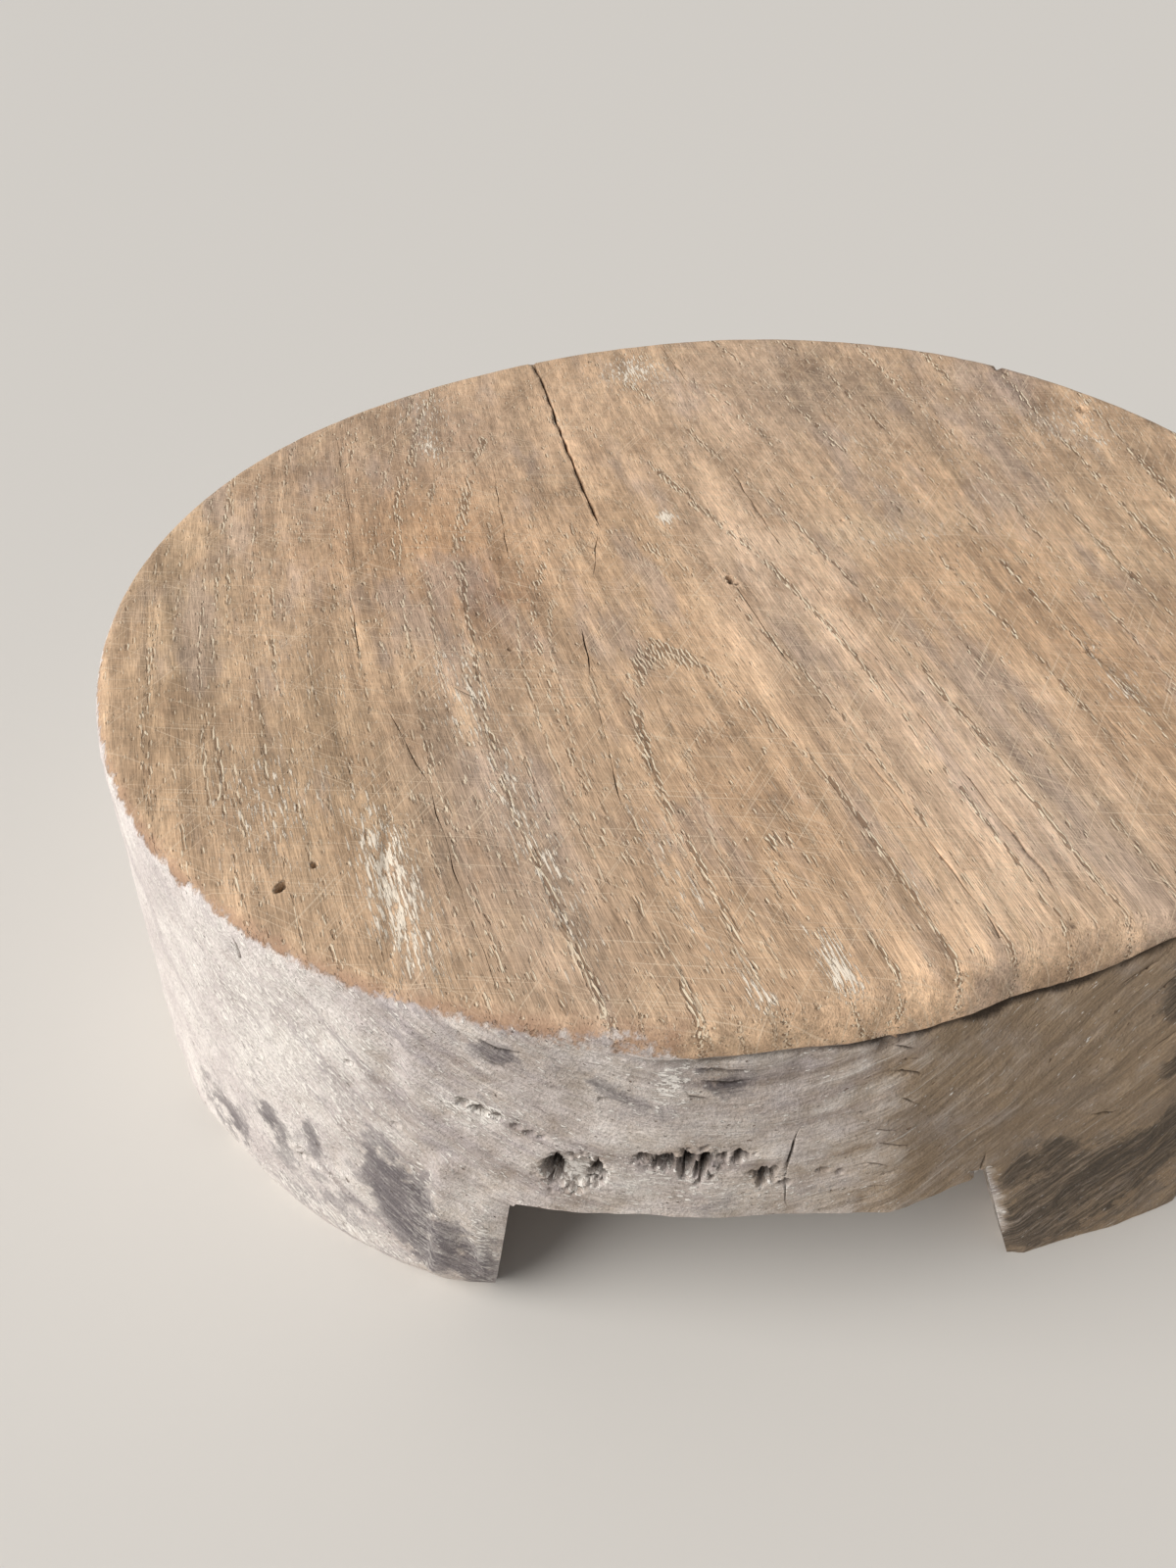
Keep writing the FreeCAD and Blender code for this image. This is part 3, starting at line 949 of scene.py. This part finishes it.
def build_foot(shell, foot, top_turns, top):
    """A runner foot: its outer skin, leaning inner face, sole, and the face that meets the slab."""
    heights = np.linspace(0, JOIN_HEIGHT, FOOT_POINTS)[:-1]
    first_turns = turn_at_face(foot, heights, *foot.first)
    last_turns = turn_at_face(foot, heights, *foot.last)
    sole_turns = np.arange(first_turns[0] + SOLE_START, last_turns[0] - SOLE_END, RING_STEP)
    first_edge = shell.add_skin(first_turns, heights)
    last_edge = shell.add_skin(last_turns, heights)
    sole_edge = shell.add_skin(sole_turns, np.zeros(len(sole_turns)))

    loop = np.concatenate([first_edge[:1], sole_edge, last_edge, top[::-1], first_edge[1:][::-1]])
    flat = np.concatenate([
        unroll(first_turns[:1], 0.0),
        unroll(sole_turns, 0.0),
        unroll(last_turns, heights),
        unroll(top_turns, JOIN_HEIGHT)[::-1],
        unroll(first_turns, heights)[1:][::-1],
    ])
    base = spread(flat, *SPREAD["foot"])
    inner = with_detail(flat, base, wall_grooves, wall_hollows, *CLOSE_SPREAD["foot"])
    numbers = shell.add_skin(inner[:, 0] / ONE_DEGREE, inner[:, 1])
    shell.fill(loop, flat, numbers, inner, foot.name, "outer")
    close_foot(shell, foot, top, first_edge, last_edge, sole_edge)


def chord(shell, start, end):
    """New points on the straight line between two others, without its ends."""
    first, last = shell.points[[start, end]]
    amount = int(np.linalg.norm(last - first) / CHORD_STEP)
    share = np.linspace(0, 1, amount)[1:-1, None]
    return shell.add(first + share * (last - first))


def close_foot(shell, foot, top, first_edge, last_edge, sole_edge):
    """A foot's inner face, sole, and top, which close it."""
    roof_chord = chord(shell, top[-1], top[0])
    floor_chord = chord(shell, last_edge[0], first_edge[0])
    sole = np.concatenate([first_edge[:1], sole_edge, last_edge[:1], floor_chord])
    fill_level(shell, sole, foot.name, "sole", 0.0, turned=True)
    fill_level(shell, np.concatenate([top, roof_chord]), foot.name, "cap", JOIN_HEIGHT, turned=False)

    loop = np.concatenate([floor_chord[::-1], last_edge, top[-1:], roof_chord, top[:1], first_edge[::-1]])
    flat = shell.points[loop, 1:]
    inner = spread(flat, *SPREAD["inner"])
    height = inner[:, 1]
    depth = roughness(np.column_stack([np.zeros(len(inner)), inner]), INNER_WAVES)
    edge_ease = ease(np.minimum(height, JOIN_HEIGHT - height) / INNER_FADE)
    x = inner_face(foot, height) + foot.side * depth * edge_ease
    numbers = shell.add(np.column_stack([x, inner]))
    shell.fill(loop, flat, numbers, inner, foot.name, "inner", turned=foot.side > 0)


def fill_level(shell, loop, piece, skin, height, turned):
    """A level face inside a loop of points."""
    flat = shell.points[loop, :2]
    inner = spread(flat, *SPREAD["level"])
    shell.fill(loop, flat, shell.add(extend(inner, height)), inner, piece, skin, turned)


def skin_normals(points, faces):
    """Point normals of one skin, from the size and lie of its triangles."""
    first, second, third = points[faces.T]
    face_normals = np.cross(second - first, third - first)
    total = np.zeros_like(points)
    for corner in faces.T:
        np.add.at(total, corner, face_normals)
    return total / np.maximum(np.linalg.norm(total, axis=1), 1e-12)[:, None]


def patches(places, table):
    """The strongest of some soft patches: each row has a middle, two half widths and a strength."""
    total = np.zeros(len(places))
    for x, y, half_x, half_y, strength in table:
        reach = ((places - (x, y)) / (half_x, half_y)) ** 2
        total = np.maximum(total, strength * np.exp(-PATCH_FALL * reach.sum(axis=1)))
    return total


def grain_places(plan):
    """Plan points as places across and along the grain, whose fibres run from front to back."""
    x, y = np.transpose(plan)
    across = x + GRAIN_LEAN * y - GRAIN_BEND * y ** 2 - GRAIN_FAN * np.maximum(x, 0) * y
    return np.column_stack([across, y - GRAIN_LEAN * x])


def log_places(points):
    """Places in the tree: distance from its heart, way round it, and way along it.
    The heart ran above the working face and dipped towards the front."""
    across, along = grain_places(points[:, :2]).T
    beside = across + HEART_ASIDE
    below = HEART_HEIGHT + HEART_RISE * (points[:, 1] + HEART_FROM) + BOARD_HEIGHT - points[:, 2]
    around = GIRTH_RADIUS * np.arctan2(beside, np.maximum(below, 0.1))
    return np.column_stack([np.hypot(beside, below), around, along])


def stroke_places(points):
    """Places across the tool's strokes on the wall, with the plan point as the place along them."""
    turns = np.arange(-180.0, 181.0)
    fall = np.cumsum(by_turn(STROKE_FALL, turns)) * ONE_DEGREE
    fall -= np.linspace(fall[0], fall[-1], len(fall))
    return np.column_stack([points[:, 2] + np.interp(turns_of(points), turns, fall), points[:, :2]])


def cut_places(points):
    """The same for the faces cut under the board, whose strokes run along the grain."""
    across, along = grain_places(points[:, :2]).T
    return np.column_stack([across + points[:, 2], along, points[:, 2]])


def face_tint(places):
    """Local tone of the working face before its grain, by place across and along the grain."""
    colour = np.tile(FACE_TAN, (len(places), 1))
    for x, y, half_x, half_y, tone, strength in FACE_TONES:
        middle = grain_places([(x, y)])[0]
        share = patches(places, [(*middle, half_x, half_y, strength)])[:, None]
        colour = colour * (1 - share) + np.array(tone) * share
    return colour


def face_chalk(places):
    """White residue on the working face, by place across and along the grain."""
    return patches(places, [(*grain_places([(x, y)])[0], *rest) for x, y, *rest in FACE_CHALK])


def wall_paint(points):
    """Lime, stain and white residue on the wall, from the turn and height of each point."""
    degrees = turns_of(points)
    height = points[:, 2]
    unrolled = unroll(degrees, height)
    stain = np.zeros(len(points))
    for turn, middle, half_x, half_y, slant, strength in WALL_STAINS:
        sheared = np.column_stack([unrolled[:, 0] + slant * (height - middle), height])
        patch = patches(sheared, [(turn * ONE_DEGREE, middle, half_x, half_y, strength)])
        stain = np.maximum(stain, patch)
    chalk = patches(unrolled, [(turn * ONE_DEGREE, *rest) for turn, *rest in WALL_CHALK])
    worn_edge = corner_wear(RIGHT_FOOT, degrees, height) + 0.3 * lumps(points, 4, 25)
    bare_edge = ease(1.8 * worn_edge - 0.4) * ease((height - 6) / 10)
    lime = np.maximum(by_turn(LIME_COVER, degrees), 0.6 * bare_edge)
    return lime, stain * (1 - bare_edge), np.maximum(chalk, 0.45 * bare_edge)


def face_share(points, over):
    """How far each point belongs to the working face, whose colour runs down to the slit on the lip."""
    degrees = turns_of(points)
    above_slit = points[:, 2] - by_turn(SLIT_HEIGHT, degrees)
    lip = np.clip(by_turn(LIP_SLIT, degrees) / 0.6, 0, 1) * ease(above_slit / 1.2)
    return np.maximum(over, lip)


def keep_values(mesh, name, kind, part, values):
    """Keep values at the points of a mesh under a name, for its material to read."""
    written = mesh.attributes.new(name, kind, "POINT")
    written.data.foreach_set(part, values.ravel().astype(np.float32))


def paint(mesh, points, over, dark, cut):
    """Keep what the material reads at each point of a piece. Cut points lie on no outer skin."""
    places = grain_places(points[:, :2])
    lime, stain, wall_chalk = wall_paint(points)
    on_face = ease((over - 0.35) / 0.5)
    numbers = {
        "face": face_share(points, over),
        "lime": np.where(cut, CUT_LIME, lime),
        "stain": np.where(cut, CUT_STAIN, stain),
        "chalk": wall_chalk * (1 - on_face) + face_chalk(places) * on_face,
        # Painted shade in cracks, hollows and gashes, and painted shadow in the slit under the lip.
        "dark": dark,
        "rust": by_turn(RUST_AND_SHADE_COVER, turns_of(points)),
    }
    vectors = {
        "grain": extend(places, points[:, 2]),
        "log": log_places(points),
        "strokes": np.where(cut[:, None], cut_places(points), stroke_places(points)),
    }
    for name, values in numbers.items():
        keep_values(mesh, name, "FLOAT", "value", values)
    for name, values in vectors.items():
        keep_values(mesh, name, "FLOAT_VECTOR", "vector", values)
    keep_values(mesh, "tint", "FLOAT_COLOR", "color", extend(face_tint(places), 1.0))


def add_object(name, data):
    """A new object in the scene."""
    made = bpy.data.objects.new(name, data)
    bpy.context.scene.collection.objects.link(made)
    return made


def make_piece(shell, piece, node, material):
    """One piece of the block as an object, with normals that run on across the joins between pieces."""
    points = shell.points
    all_outer = np.concatenate([faces for faces, _, skin in shell.faces if skin == "outer"])
    outer_normals = skin_normals(points, all_outer)
    cut = np.ones(len(points), bool)
    triangles = []
    corner_normals = []
    for faces, name, skin in shell.faces:
        if name != piece:
            continue
        outer = skin == "outer"
        normals = outer_normals if outer else skin_normals(points, faces)
        triangles.append(faces)
        corner_normals.append(normals[faces].reshape(-1, 3))
        if outer:
            cut[faces] = False
    used, renumbered = np.unique(np.concatenate(triangles), return_inverse=True)
    mesh = bpy.data.meshes.new(piece)
    mesh.from_pydata(points[used] * MM, [], renumbered.reshape(-1, 3))
    mesh.polygons.foreach_set("use_smooth", np.ones(len(mesh.polygons), bool))
    mesh.normals_split_custom_set(np.concatenate(corner_normals))
    paint(mesh, points[used], shell.over[used], shell.dark[used], cut[used])
    mesh.materials.append(material)
    made = add_object(piece, mesh)
    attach(made, "root")
    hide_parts(node)


class Field:
    """A number, place or colour that varies over a material, given by one of its nodes. Sums add nodes."""

    def __init__(self, tree, socket):
        self.tree = tree
        self.socket = socket

    def __add__(self, other):
        return self.tree.math("ADD", self, other)

    def __sub__(self, other):
        return self.tree.math("SUBTRACT", self, other)

    def __rsub__(self, other):
        return self.tree.math("SUBTRACT", other, self)

    def __mul__(self, other):
        return self.tree.math("MULTIPLY", self, other)

    def __truediv__(self, other):
        return self.tree.math("DIVIDE", self, other)

    def size(self):
        """The number without its sign."""
        return self.tree.math("ABSOLUTE", self)

    def most(self, other):
        """The larger of two numbers."""
        return self.tree.math("MAXIMUM", self, other)

    def span(self, low, high, start=0.0, end=1.0):
        """The number eased from one range into another."""
        inputs = {"Value": self, "From Min": low, "From Max": high, "To Min": start, "To Max": end}
        return self.tree.add("ShaderNodeMapRange", inputs, interpolation_type="SMOOTHSTEP")

    def parts(self):
        """The three parts of a place."""
        node = self.tree.node("ShaderNodeSeparateXYZ", {0: self})
        return [Field(self.tree, output) for output in node.outputs]


class Tree:
    """Short ways to add the nodes of one material."""

    def __init__(self, material):
        material.use_nodes = True
        self.nodes = material.node_tree.nodes
        self.links = material.node_tree.links

    def put(self, socket, value):
        """Link a socket to a field, or give it a plain value."""
        if isinstance(value, Field):
            self.links.new(value.socket, socket)
        elif isinstance(value, tuple) and len(value) == 3 and len(socket.default_value) == 4:
            socket.default_value = (*value, 1.0)
        else:
            socket.default_value = value

    def node(self, kind, inputs, **settings):
        """A node with its settings and inputs."""
        made = self.nodes.new(kind)
        for name, value in settings.items():
            setattr(made, name, value)
        for key, value in inputs.items():
            self.put(made.inputs[key], value)
        return made

    def add(self, kind, inputs, output=0, **settings):
        """What one output of a new node gives."""
        return Field(self, self.node(kind, inputs, **settings).outputs[output])

    def read(self, name, output="Fac"):
        """What was kept at the points of the piece under a name."""
        return self.add("ShaderNodeAttribute", {}, output, attribute_name=name)

    def math(self, operation, first, second=0.0):
        """One sum of two numbers."""
        return self.add("ShaderNodeMath", {0: first, 1: second}, operation=operation)

    def vector(self, operation, first, second):
        """One sum of two places."""
        return self.add("ShaderNodeVectorMath", {0: first, 1: second}, operation=operation)

    def scale(self, first, amount):
        """A place or colour times a number."""
        return self.add("ShaderNodeVectorMath", {0: first, "Scale": amount}, operation="SCALE")

    def grains(self, place, sizes, detail, rough, shift):
        """Noise of about 0 to 1 whose lumps have the given sizes along the three parts of a place."""
        scaled = self.vector("MULTIPLY", place, tuple(1.0 / size for size in sizes))
        moved = self.vector("ADD", scaled, (shift, shift, shift))
        inputs = {"Vector": moved, "Scale": 1.0, "Detail": detail, "Roughness": rough}
        return self.add("ShaderNodeTexNoise", inputs, "Fac")

    def mix(self, share, first, second):
        """One colour laid over another."""
        return self.add("ShaderNodeMix", {0: share, 6: first, 7: second}, 2, data_type="RGBA")

    def blend(self, share, first, second):
        """One number laid over another."""
        return self.add("ShaderNodeMix", {0: share, 2: first, 3: second})


def pore_rows(tree, grain, log, spacing, half, shift):
    """Rows of short open pores along the rings, and the pale filling of others beside them on the right, so
    that each dark pore and its cream bank also stand as painted shade and painted light of a groove lit from
    the left.
    """
    radius, around, along = log.parts()
    across = grain.parts()[0]
    wander = tree.grains(log, (40, 90, 90), 2.0, 0.5, shift) - 0.5
    turns = (radius - FIRST_RING + wander * 7.0) / spacing
    inputs = {"W": tree.math("ROUND", turns)}
    lot = tree.add("ShaderNodeTexWhiteNoise", inputs, "Value", noise_dimensions="1D")
    crown = around.size().span(12, 45, 0.16, 0.0)
    strength = tree.grains(grain, (9, 45, 9), 2.0, 0.5, shift + 5.0).span(0.36, 0.62, 0.04, 0.20)
    strength = strength + lot.span(0.0, 1.0, -0.03, 0.06) + turns.span(0.5, 3.0, 0.05, 0.0)
    strength = strength - across.span(-70, -130, 0.0, 0.06) - crown * along.span(45, 75)
    ring_part = tree.math("FRACT", turns + 0.5) - 0.5
    band = ring_part.size().span(0.0, half / spacing, 1.0, 0.0) * strength
    rows = []
    for aside, least in PORE_AND_LIT_BANKS:
        bank = tree.vector("ADD", grain, (aside, 0.5 * aside, 0.0))
        dashes = tree.grains(bank, (0.56, 3.8, 0.56), 1.0, 0.5, shift + 3.0)
        rows.append((dashes + band).span(least, least + 0.06))
    return rows


def scratches(tree, place, turn, shift):
    """Thin straight knife marks that all run one way."""
    inputs = {"Vector": place, "Rotation": (0.0, 0.0, math.radians(turn))}
    turned = tree.add("ShaderNodeMapping", inputs)
    return tree.grains(turned, (34, 0.42, 34), 1.0, 0.5, shift).span(0.63, 0.73)


def face_wood(tree, grain, place):
    """Colour and fibres of the worn, dry wood of the working face, without its pores."""
    clouds = tree.grains(place, (24, 30, 24), 5.0, 0.62, 2.0)
    mottle = tree.grains(grain, (7, 22, 7), 6.0, 0.68, 5.0)
    flecks = tree.grains(grain, (1.5, 7, 1.5), 4.0, 0.65, 19.0)
    streaks = tree.grains(grain, (3.5, 120, 3.5), 4.0, 0.6, 3.1)
    fibres = tree.grains(grain, (0.40, 6, 0.40), 3.0, 0.6, 7.7)
    strokes = tree.grains(place, (9, 0.6, 9), 3.0, 0.6, 15.0)
    bands = tree.grains(grain, (7, 75, 7), 4.0, 0.6, 23.0)
    ashen = tree.grains(grain, (15, 60, 15), 4.0, 0.6, 33.0)
    colour = tree.mix(clouds.span(0.52, 0.72, 0.0, 0.55), tree.read("tint", "Color"), UMBER)
    colour = tree.scale(colour, clouds.span(0.3, 0.6, 1.12, 1.0))
    colour = tree.mix(mottle.span(0.5, 0.68, 0.0, 0.5), colour, ASH_TAN)
    colour = tree.mix(mottle.span(0.5, 0.34, 0.0, 0.4), colour, HONEY)
    colour = tree.mix(ashen.span(0.50, 0.66, 0.0, 0.5), colour, LILAC_TAN)
    shades = (
        (bands, 0.74, 1.25), (flecks, 0.82, 1.16), (streaks, 0.86, 1.12), (fibres, 0.78, 1.18),
        (strokes, 0.94, 1.05),
    )
    for part, low, high in shades:
        colour = tree.scale(colour, part.span(0.28, 0.72, low, high))
    return colour, fibres


def face_colour(tree, grain, log, place):
    """Colour and height of the working face: worn wood with rows of pores, knife marks and white residue."""
    colour, fibres = face_wood(tree, grain, place)
    dark, pale = pore_rows(tree, grain, log, *WIDE_RINGS)
    close_dark, close_pale = pore_rows(tree, grain, log, *CLOSE_RINGS)
    close_share = grain.parts()[0].span(-30, -85, 0.3, 0.8)
    dark = dark.most(close_dark * close_share)
    pale = pale.most(close_pale * close_share)
    pores = dark.most(tree.grains(grain, (0.32, 2.2, 0.32), 1.0, 0.5, 21.0).span(0.70, 0.80, 0.0, 0.4))
    for turn, shift in KNIFE_MARKS:
        colour = tree.mix(scratches(tree, place, turn, shift) * 0.5, colour, SCRATCH_TAN)
    colour = tree.mix(pores * 0.65, colour, PORE_BROWN)
    chalk = tree.read("chalk")
    filled = tree.grains(place, (25, 40, 25), 3.0, 0.6, 27.0).span(0.36, 0.62, 0.55, 1.0)
    pale = pale * filled.most(chalk) * (1.0 - dark)
    film = tree.grains(grain, (0.55, 5.0, 0.55), 4.0, 0.62, 9.0)
    powder = (film + chalk * (chalk * 0.12 + 0.16)).span(0.65, 0.73) * chalk.span(0.05, 0.6, 0.35, 0.95)
    # Cream filling of the pores, laid on their right banks: partly lime residue, partly painted light.
    colour = tree.mix(pale * 0.9, colour, FILLING_AND_LIT_BANK_CREAM)
    colour = tree.mix(powder, colour, CHALK_WHITE)
    return colour, fibres * 0.4 - pores + pale.most(powder) * 0.4


def wall_wash(tree, strokes, place, sweep, clumps):
    """Colour of the hewn wood and of the lime wash that is left on it, and the wash's grit."""
    blotch = tree.grains(place, (16, 16, 16), 4.0, 0.6, 6.0)
    swirl = tree.grains(strokes, (6, 60, 60), 4.0, 0.6, 14.0)
    grit = tree.grains(place, (0.7, 0.7, 0.7), 3.0, 0.65, 4.0)
    cover = tree.read("lime")
    wood = tree.scale(WALL_BROWN, sweep.span(0.28, 0.72, 0.74, 1.24))
    wood = tree.mix(blotch.span(0.4, 0.7, 0.0, 0.6), wood, WALL_DUN)
    lime = tree.mix(blotch.span(0.35, 0.65), LIME_WHITE, LIME_GREY)
    lime = tree.mix(swirl.span(0.48, 0.66) * cover.span(0.6, 1.0, 0.9, 0.3), lime, LIME_LILAC)
    lime = tree.scale(lime, grit.span(0.3, 0.7, 0.88, 1.09))
    ragged = cover + (sweep * 0.4 + clumps * 0.9 - 0.65)
    return tree.mix(ragged.span(0.05, 0.90), wood, lime), grit


def wall_stain(tree, sweep, fine, clumps):
    """How far dark stain covers the wall: ragged patches, scratched by the strokes."""
    stain = tree.read("stain")
    ragged = stain + (sweep * 0.3 + clumps * 1.8 - 1.05)
    worn = fine * 0.5 + sweep * 0.5
    scratched = tree.read("lime").span(0.3, 0.8, 0.42, 0.84)
    cover = ragged.span(0.26, 0.50) * stain.span(0.2, 0.6, 0.4, 1.0)
    return cover * worn.span(0.42, 0.60, 0.98, scratched)


def wall_colour(tree, strokes, place):
    """Colour and height of the hewn wall: rough wood under lime wash, stain, pits and white flecks."""
    sweep = tree.grains(strokes, (2.2, 26, 26), 4.0, 0.62, 1.0)
    fine = tree.grains(strokes, (0.5, 2.6, 2.6), 3.0, 0.6, 3.0)
    clumps = tree.grains(place, (7, 7, 7), 5.0, 0.66, 12.0)
    flecks = tree.grains(strokes, (0.7, 1.7, 1.7), 3.0, 0.60, 13.0)
    pits = tree.grains(strokes, (0.8, 1.6, 1.6), 1.0, 0.5, 17.0).span(0.73, 0.80)
    scores = tree.grains(strokes, (0.5, 24, 24), 2.0, 0.5, 29.0).span(0.66, 0.72)
    lime = tree.read("lime")
    bare = lime.span(0.55, 0.95, 1.0, 0.45)
    colour, grit = wall_wash(tree, strokes, place, sweep, clumps)
    colour = tree.scale(colour, fine.span(0.3, 0.7, -0.16, 0.14) * bare + 1.0)
    stain = wall_stain(tree, sweep, fine, clumps)
    colour = tree.mix(stain, colour, tree.mix(lime.span(0.2, 0.7), EARTH_STAIN, SLATE_STAIN))
    colour = tree.mix(pits * 0.7, colour, PORE_BROWN)
    lit = tree.read("chalk") * 0.23 + lime.span(0.1, 0.9, -0.025, 0.05)
    white = (flecks + lit).span(0.63, 0.70, 0.0, 0.9)
    white = white.most(scores * lime.span(0.2, 0.9, 0.30, 0.60)) * stain.span(0.2, 0.9, 1.0, 0.3)
    colour = tree.mix(white, colour, FLECK_WHITE)
    height = grit * 0.8 + fine * 0.8 * bare + clumps * 1.5 + white * 0.4 - pits * 1.4 - 1.45
    return colour, height


def wood_material(name):
    """Old wood: a worn working face, and a hewn, lime washed wall that meets it along a frayed rim."""
    material = bpy.data.materials.new(name)
    tree = Tree(material)
    place = tree.scale(tree.add("ShaderNodeTexCoord", {}, "Object"), 1 / MM)
    top, top_height = face_colour(tree, tree.read("grain", "Vector"), tree.read("log", "Vector"), place)
    side, side_height = wall_colour(tree, tree.read("strokes", "Vector"), place)
    fray = tree.grains(place, (1.8, 1.8, 1.8), 5.0, 0.7, 41.0)
    tatters = tree.grains(place, (8, 8, 8), 4.0, 0.65, 43.0)
    over = tree.read("face") + (fray * 0.9 + tatters * 0.7 - 0.8)
    on_face = over.span(0.30, 0.50)
    # The rim's rusty band lies on the lower, steeper part of the worn rim: partly rust brown, partly painted
    # shade under the lip.
    rust = tree.read("rust") * tatters.span(0.34, 0.58, 0.35, 1.0)
    rim = over.span(0.20, 0.42) * over.span(0.5, rust * 0.45 + 0.60, 1.0, 0.0)
    colour = tree.mix(on_face, side, top)
    colour = tree.mix(rim * (rust * 0.85), colour, RIM_RUST_AND_SHADE)
    # Painted shade: cracks, hollows, gashes and the slit under the lip are darkened nearly to black.
    colour = tree.mix(tree.read("dark") * 0.94, colour, PAINTED_SHADE_DARK)
    height = tree.blend(on_face, side_height, top_height)
    inputs = {"Strength": 0.9, "Distance": BUMP_DEPTH, "Height": height}
    shader = tree.nodes["Principled BSDF"]
    tree.put(shader.inputs["Base Color"], colour)
    tree.put(shader.inputs["Roughness"], tree.blend(on_face, 0.9, top_height.span(0.0, 0.5, 0.78, 0.60)))
    tree.put(shader.inputs["Normal"], tree.add("ShaderNodeBump", inputs))
    tree.put(shader.inputs["Specular IOR Level"], 0.35)
    return material


def add_camera():
    """A camera that stands where the photograph was taken from."""
    lens = bpy.data.cameras.new("camera")
    lens.sensor_width = SENSOR_WIDTH
    lens.lens = LENS_LENGTH
    lens.clip_start = 0.01
    camera = add_object("camera", lens)
    turn = Matrix.Rotation(CAMERA_TILT, 4, "X") @ Matrix.Rotation(CAMERA_ROLL, 4, "Z")
    camera.matrix_world = Matrix.Translation(CAMERA_PLACE) @ turn
    bpy.context.scene.camera = camera


def add_floor():
    """A wide, plain, pale floor."""
    mesh = bpy.data.meshes.new("floor")
    corners = [(FLOOR_REACH * x, FLOOR_REACH * y, 0) for x, y in ((-1, -1), (1, -1), (1, 1), (-1, 1))]
    mesh.from_pydata(corners, [], [(0, 1, 2, 3)])
    material = bpy.data.materials.new("pale_floor")
    tree = Tree(material)
    shader = tree.nodes["Principled BSDF"]
    tree.put(shader.inputs["Base Color"], FLOOR_COLOUR)
    tree.put(shader.inputs["Roughness"], 0.8)
    mesh.materials.append(material)
    add_object("floor", mesh)


def add_light():
    """Soft light from a window at the upper left, softer light from all round, and a pale background."""
    lamp = bpy.data.lights.new("window", "SUN")
    lamp.energy = WINDOW_STRENGTH
    lamp.angle = WINDOW_SPREAD
    lamp.color = WINDOW_COLOUR
    window = add_object("window", lamp)
    place = Vector(WINDOW_PLACE)
    turn = (-place).to_track_quat("-Z", "Y").to_matrix().to_4x4()
    window.matrix_world = Matrix.Translation(place) @ turn
    world = bpy.data.worlds.new("soft_light")
    tree = Tree(world)
    light = tree.nodes["Background"]
    tree.put(light.inputs["Color"], SKY_COLOUR)
    tree.put(light.inputs["Strength"], SKY_STRENGTH)
    pale = tree.add("ShaderNodeBackground", {"Color": BACKDROP_COLOUR})
    seen = tree.add("ShaderNodeLightPath", {}, "Is Camera Ray")
    either = tree.add("ShaderNodeMixShader", {0: seen, 1: Field(tree, light.outputs[0]), 2: pale})
    tree.put(tree.nodes["World Output"].inputs["Surface"], either)
    bpy.context.scene.world = world


block = build_block()
slab_wood = wood_material("slab_wood")
foot_wood = wood_material("foot_wood")
make_piece(block, "slab", "rolling_slab", slab_wood)
for foot in FEET:
    make_piece(block, foot.name, foot.node, foot_wood)
add_camera()
add_floor()
add_light()
bpy.context.scene.view_settings.view_transform = "Standard"
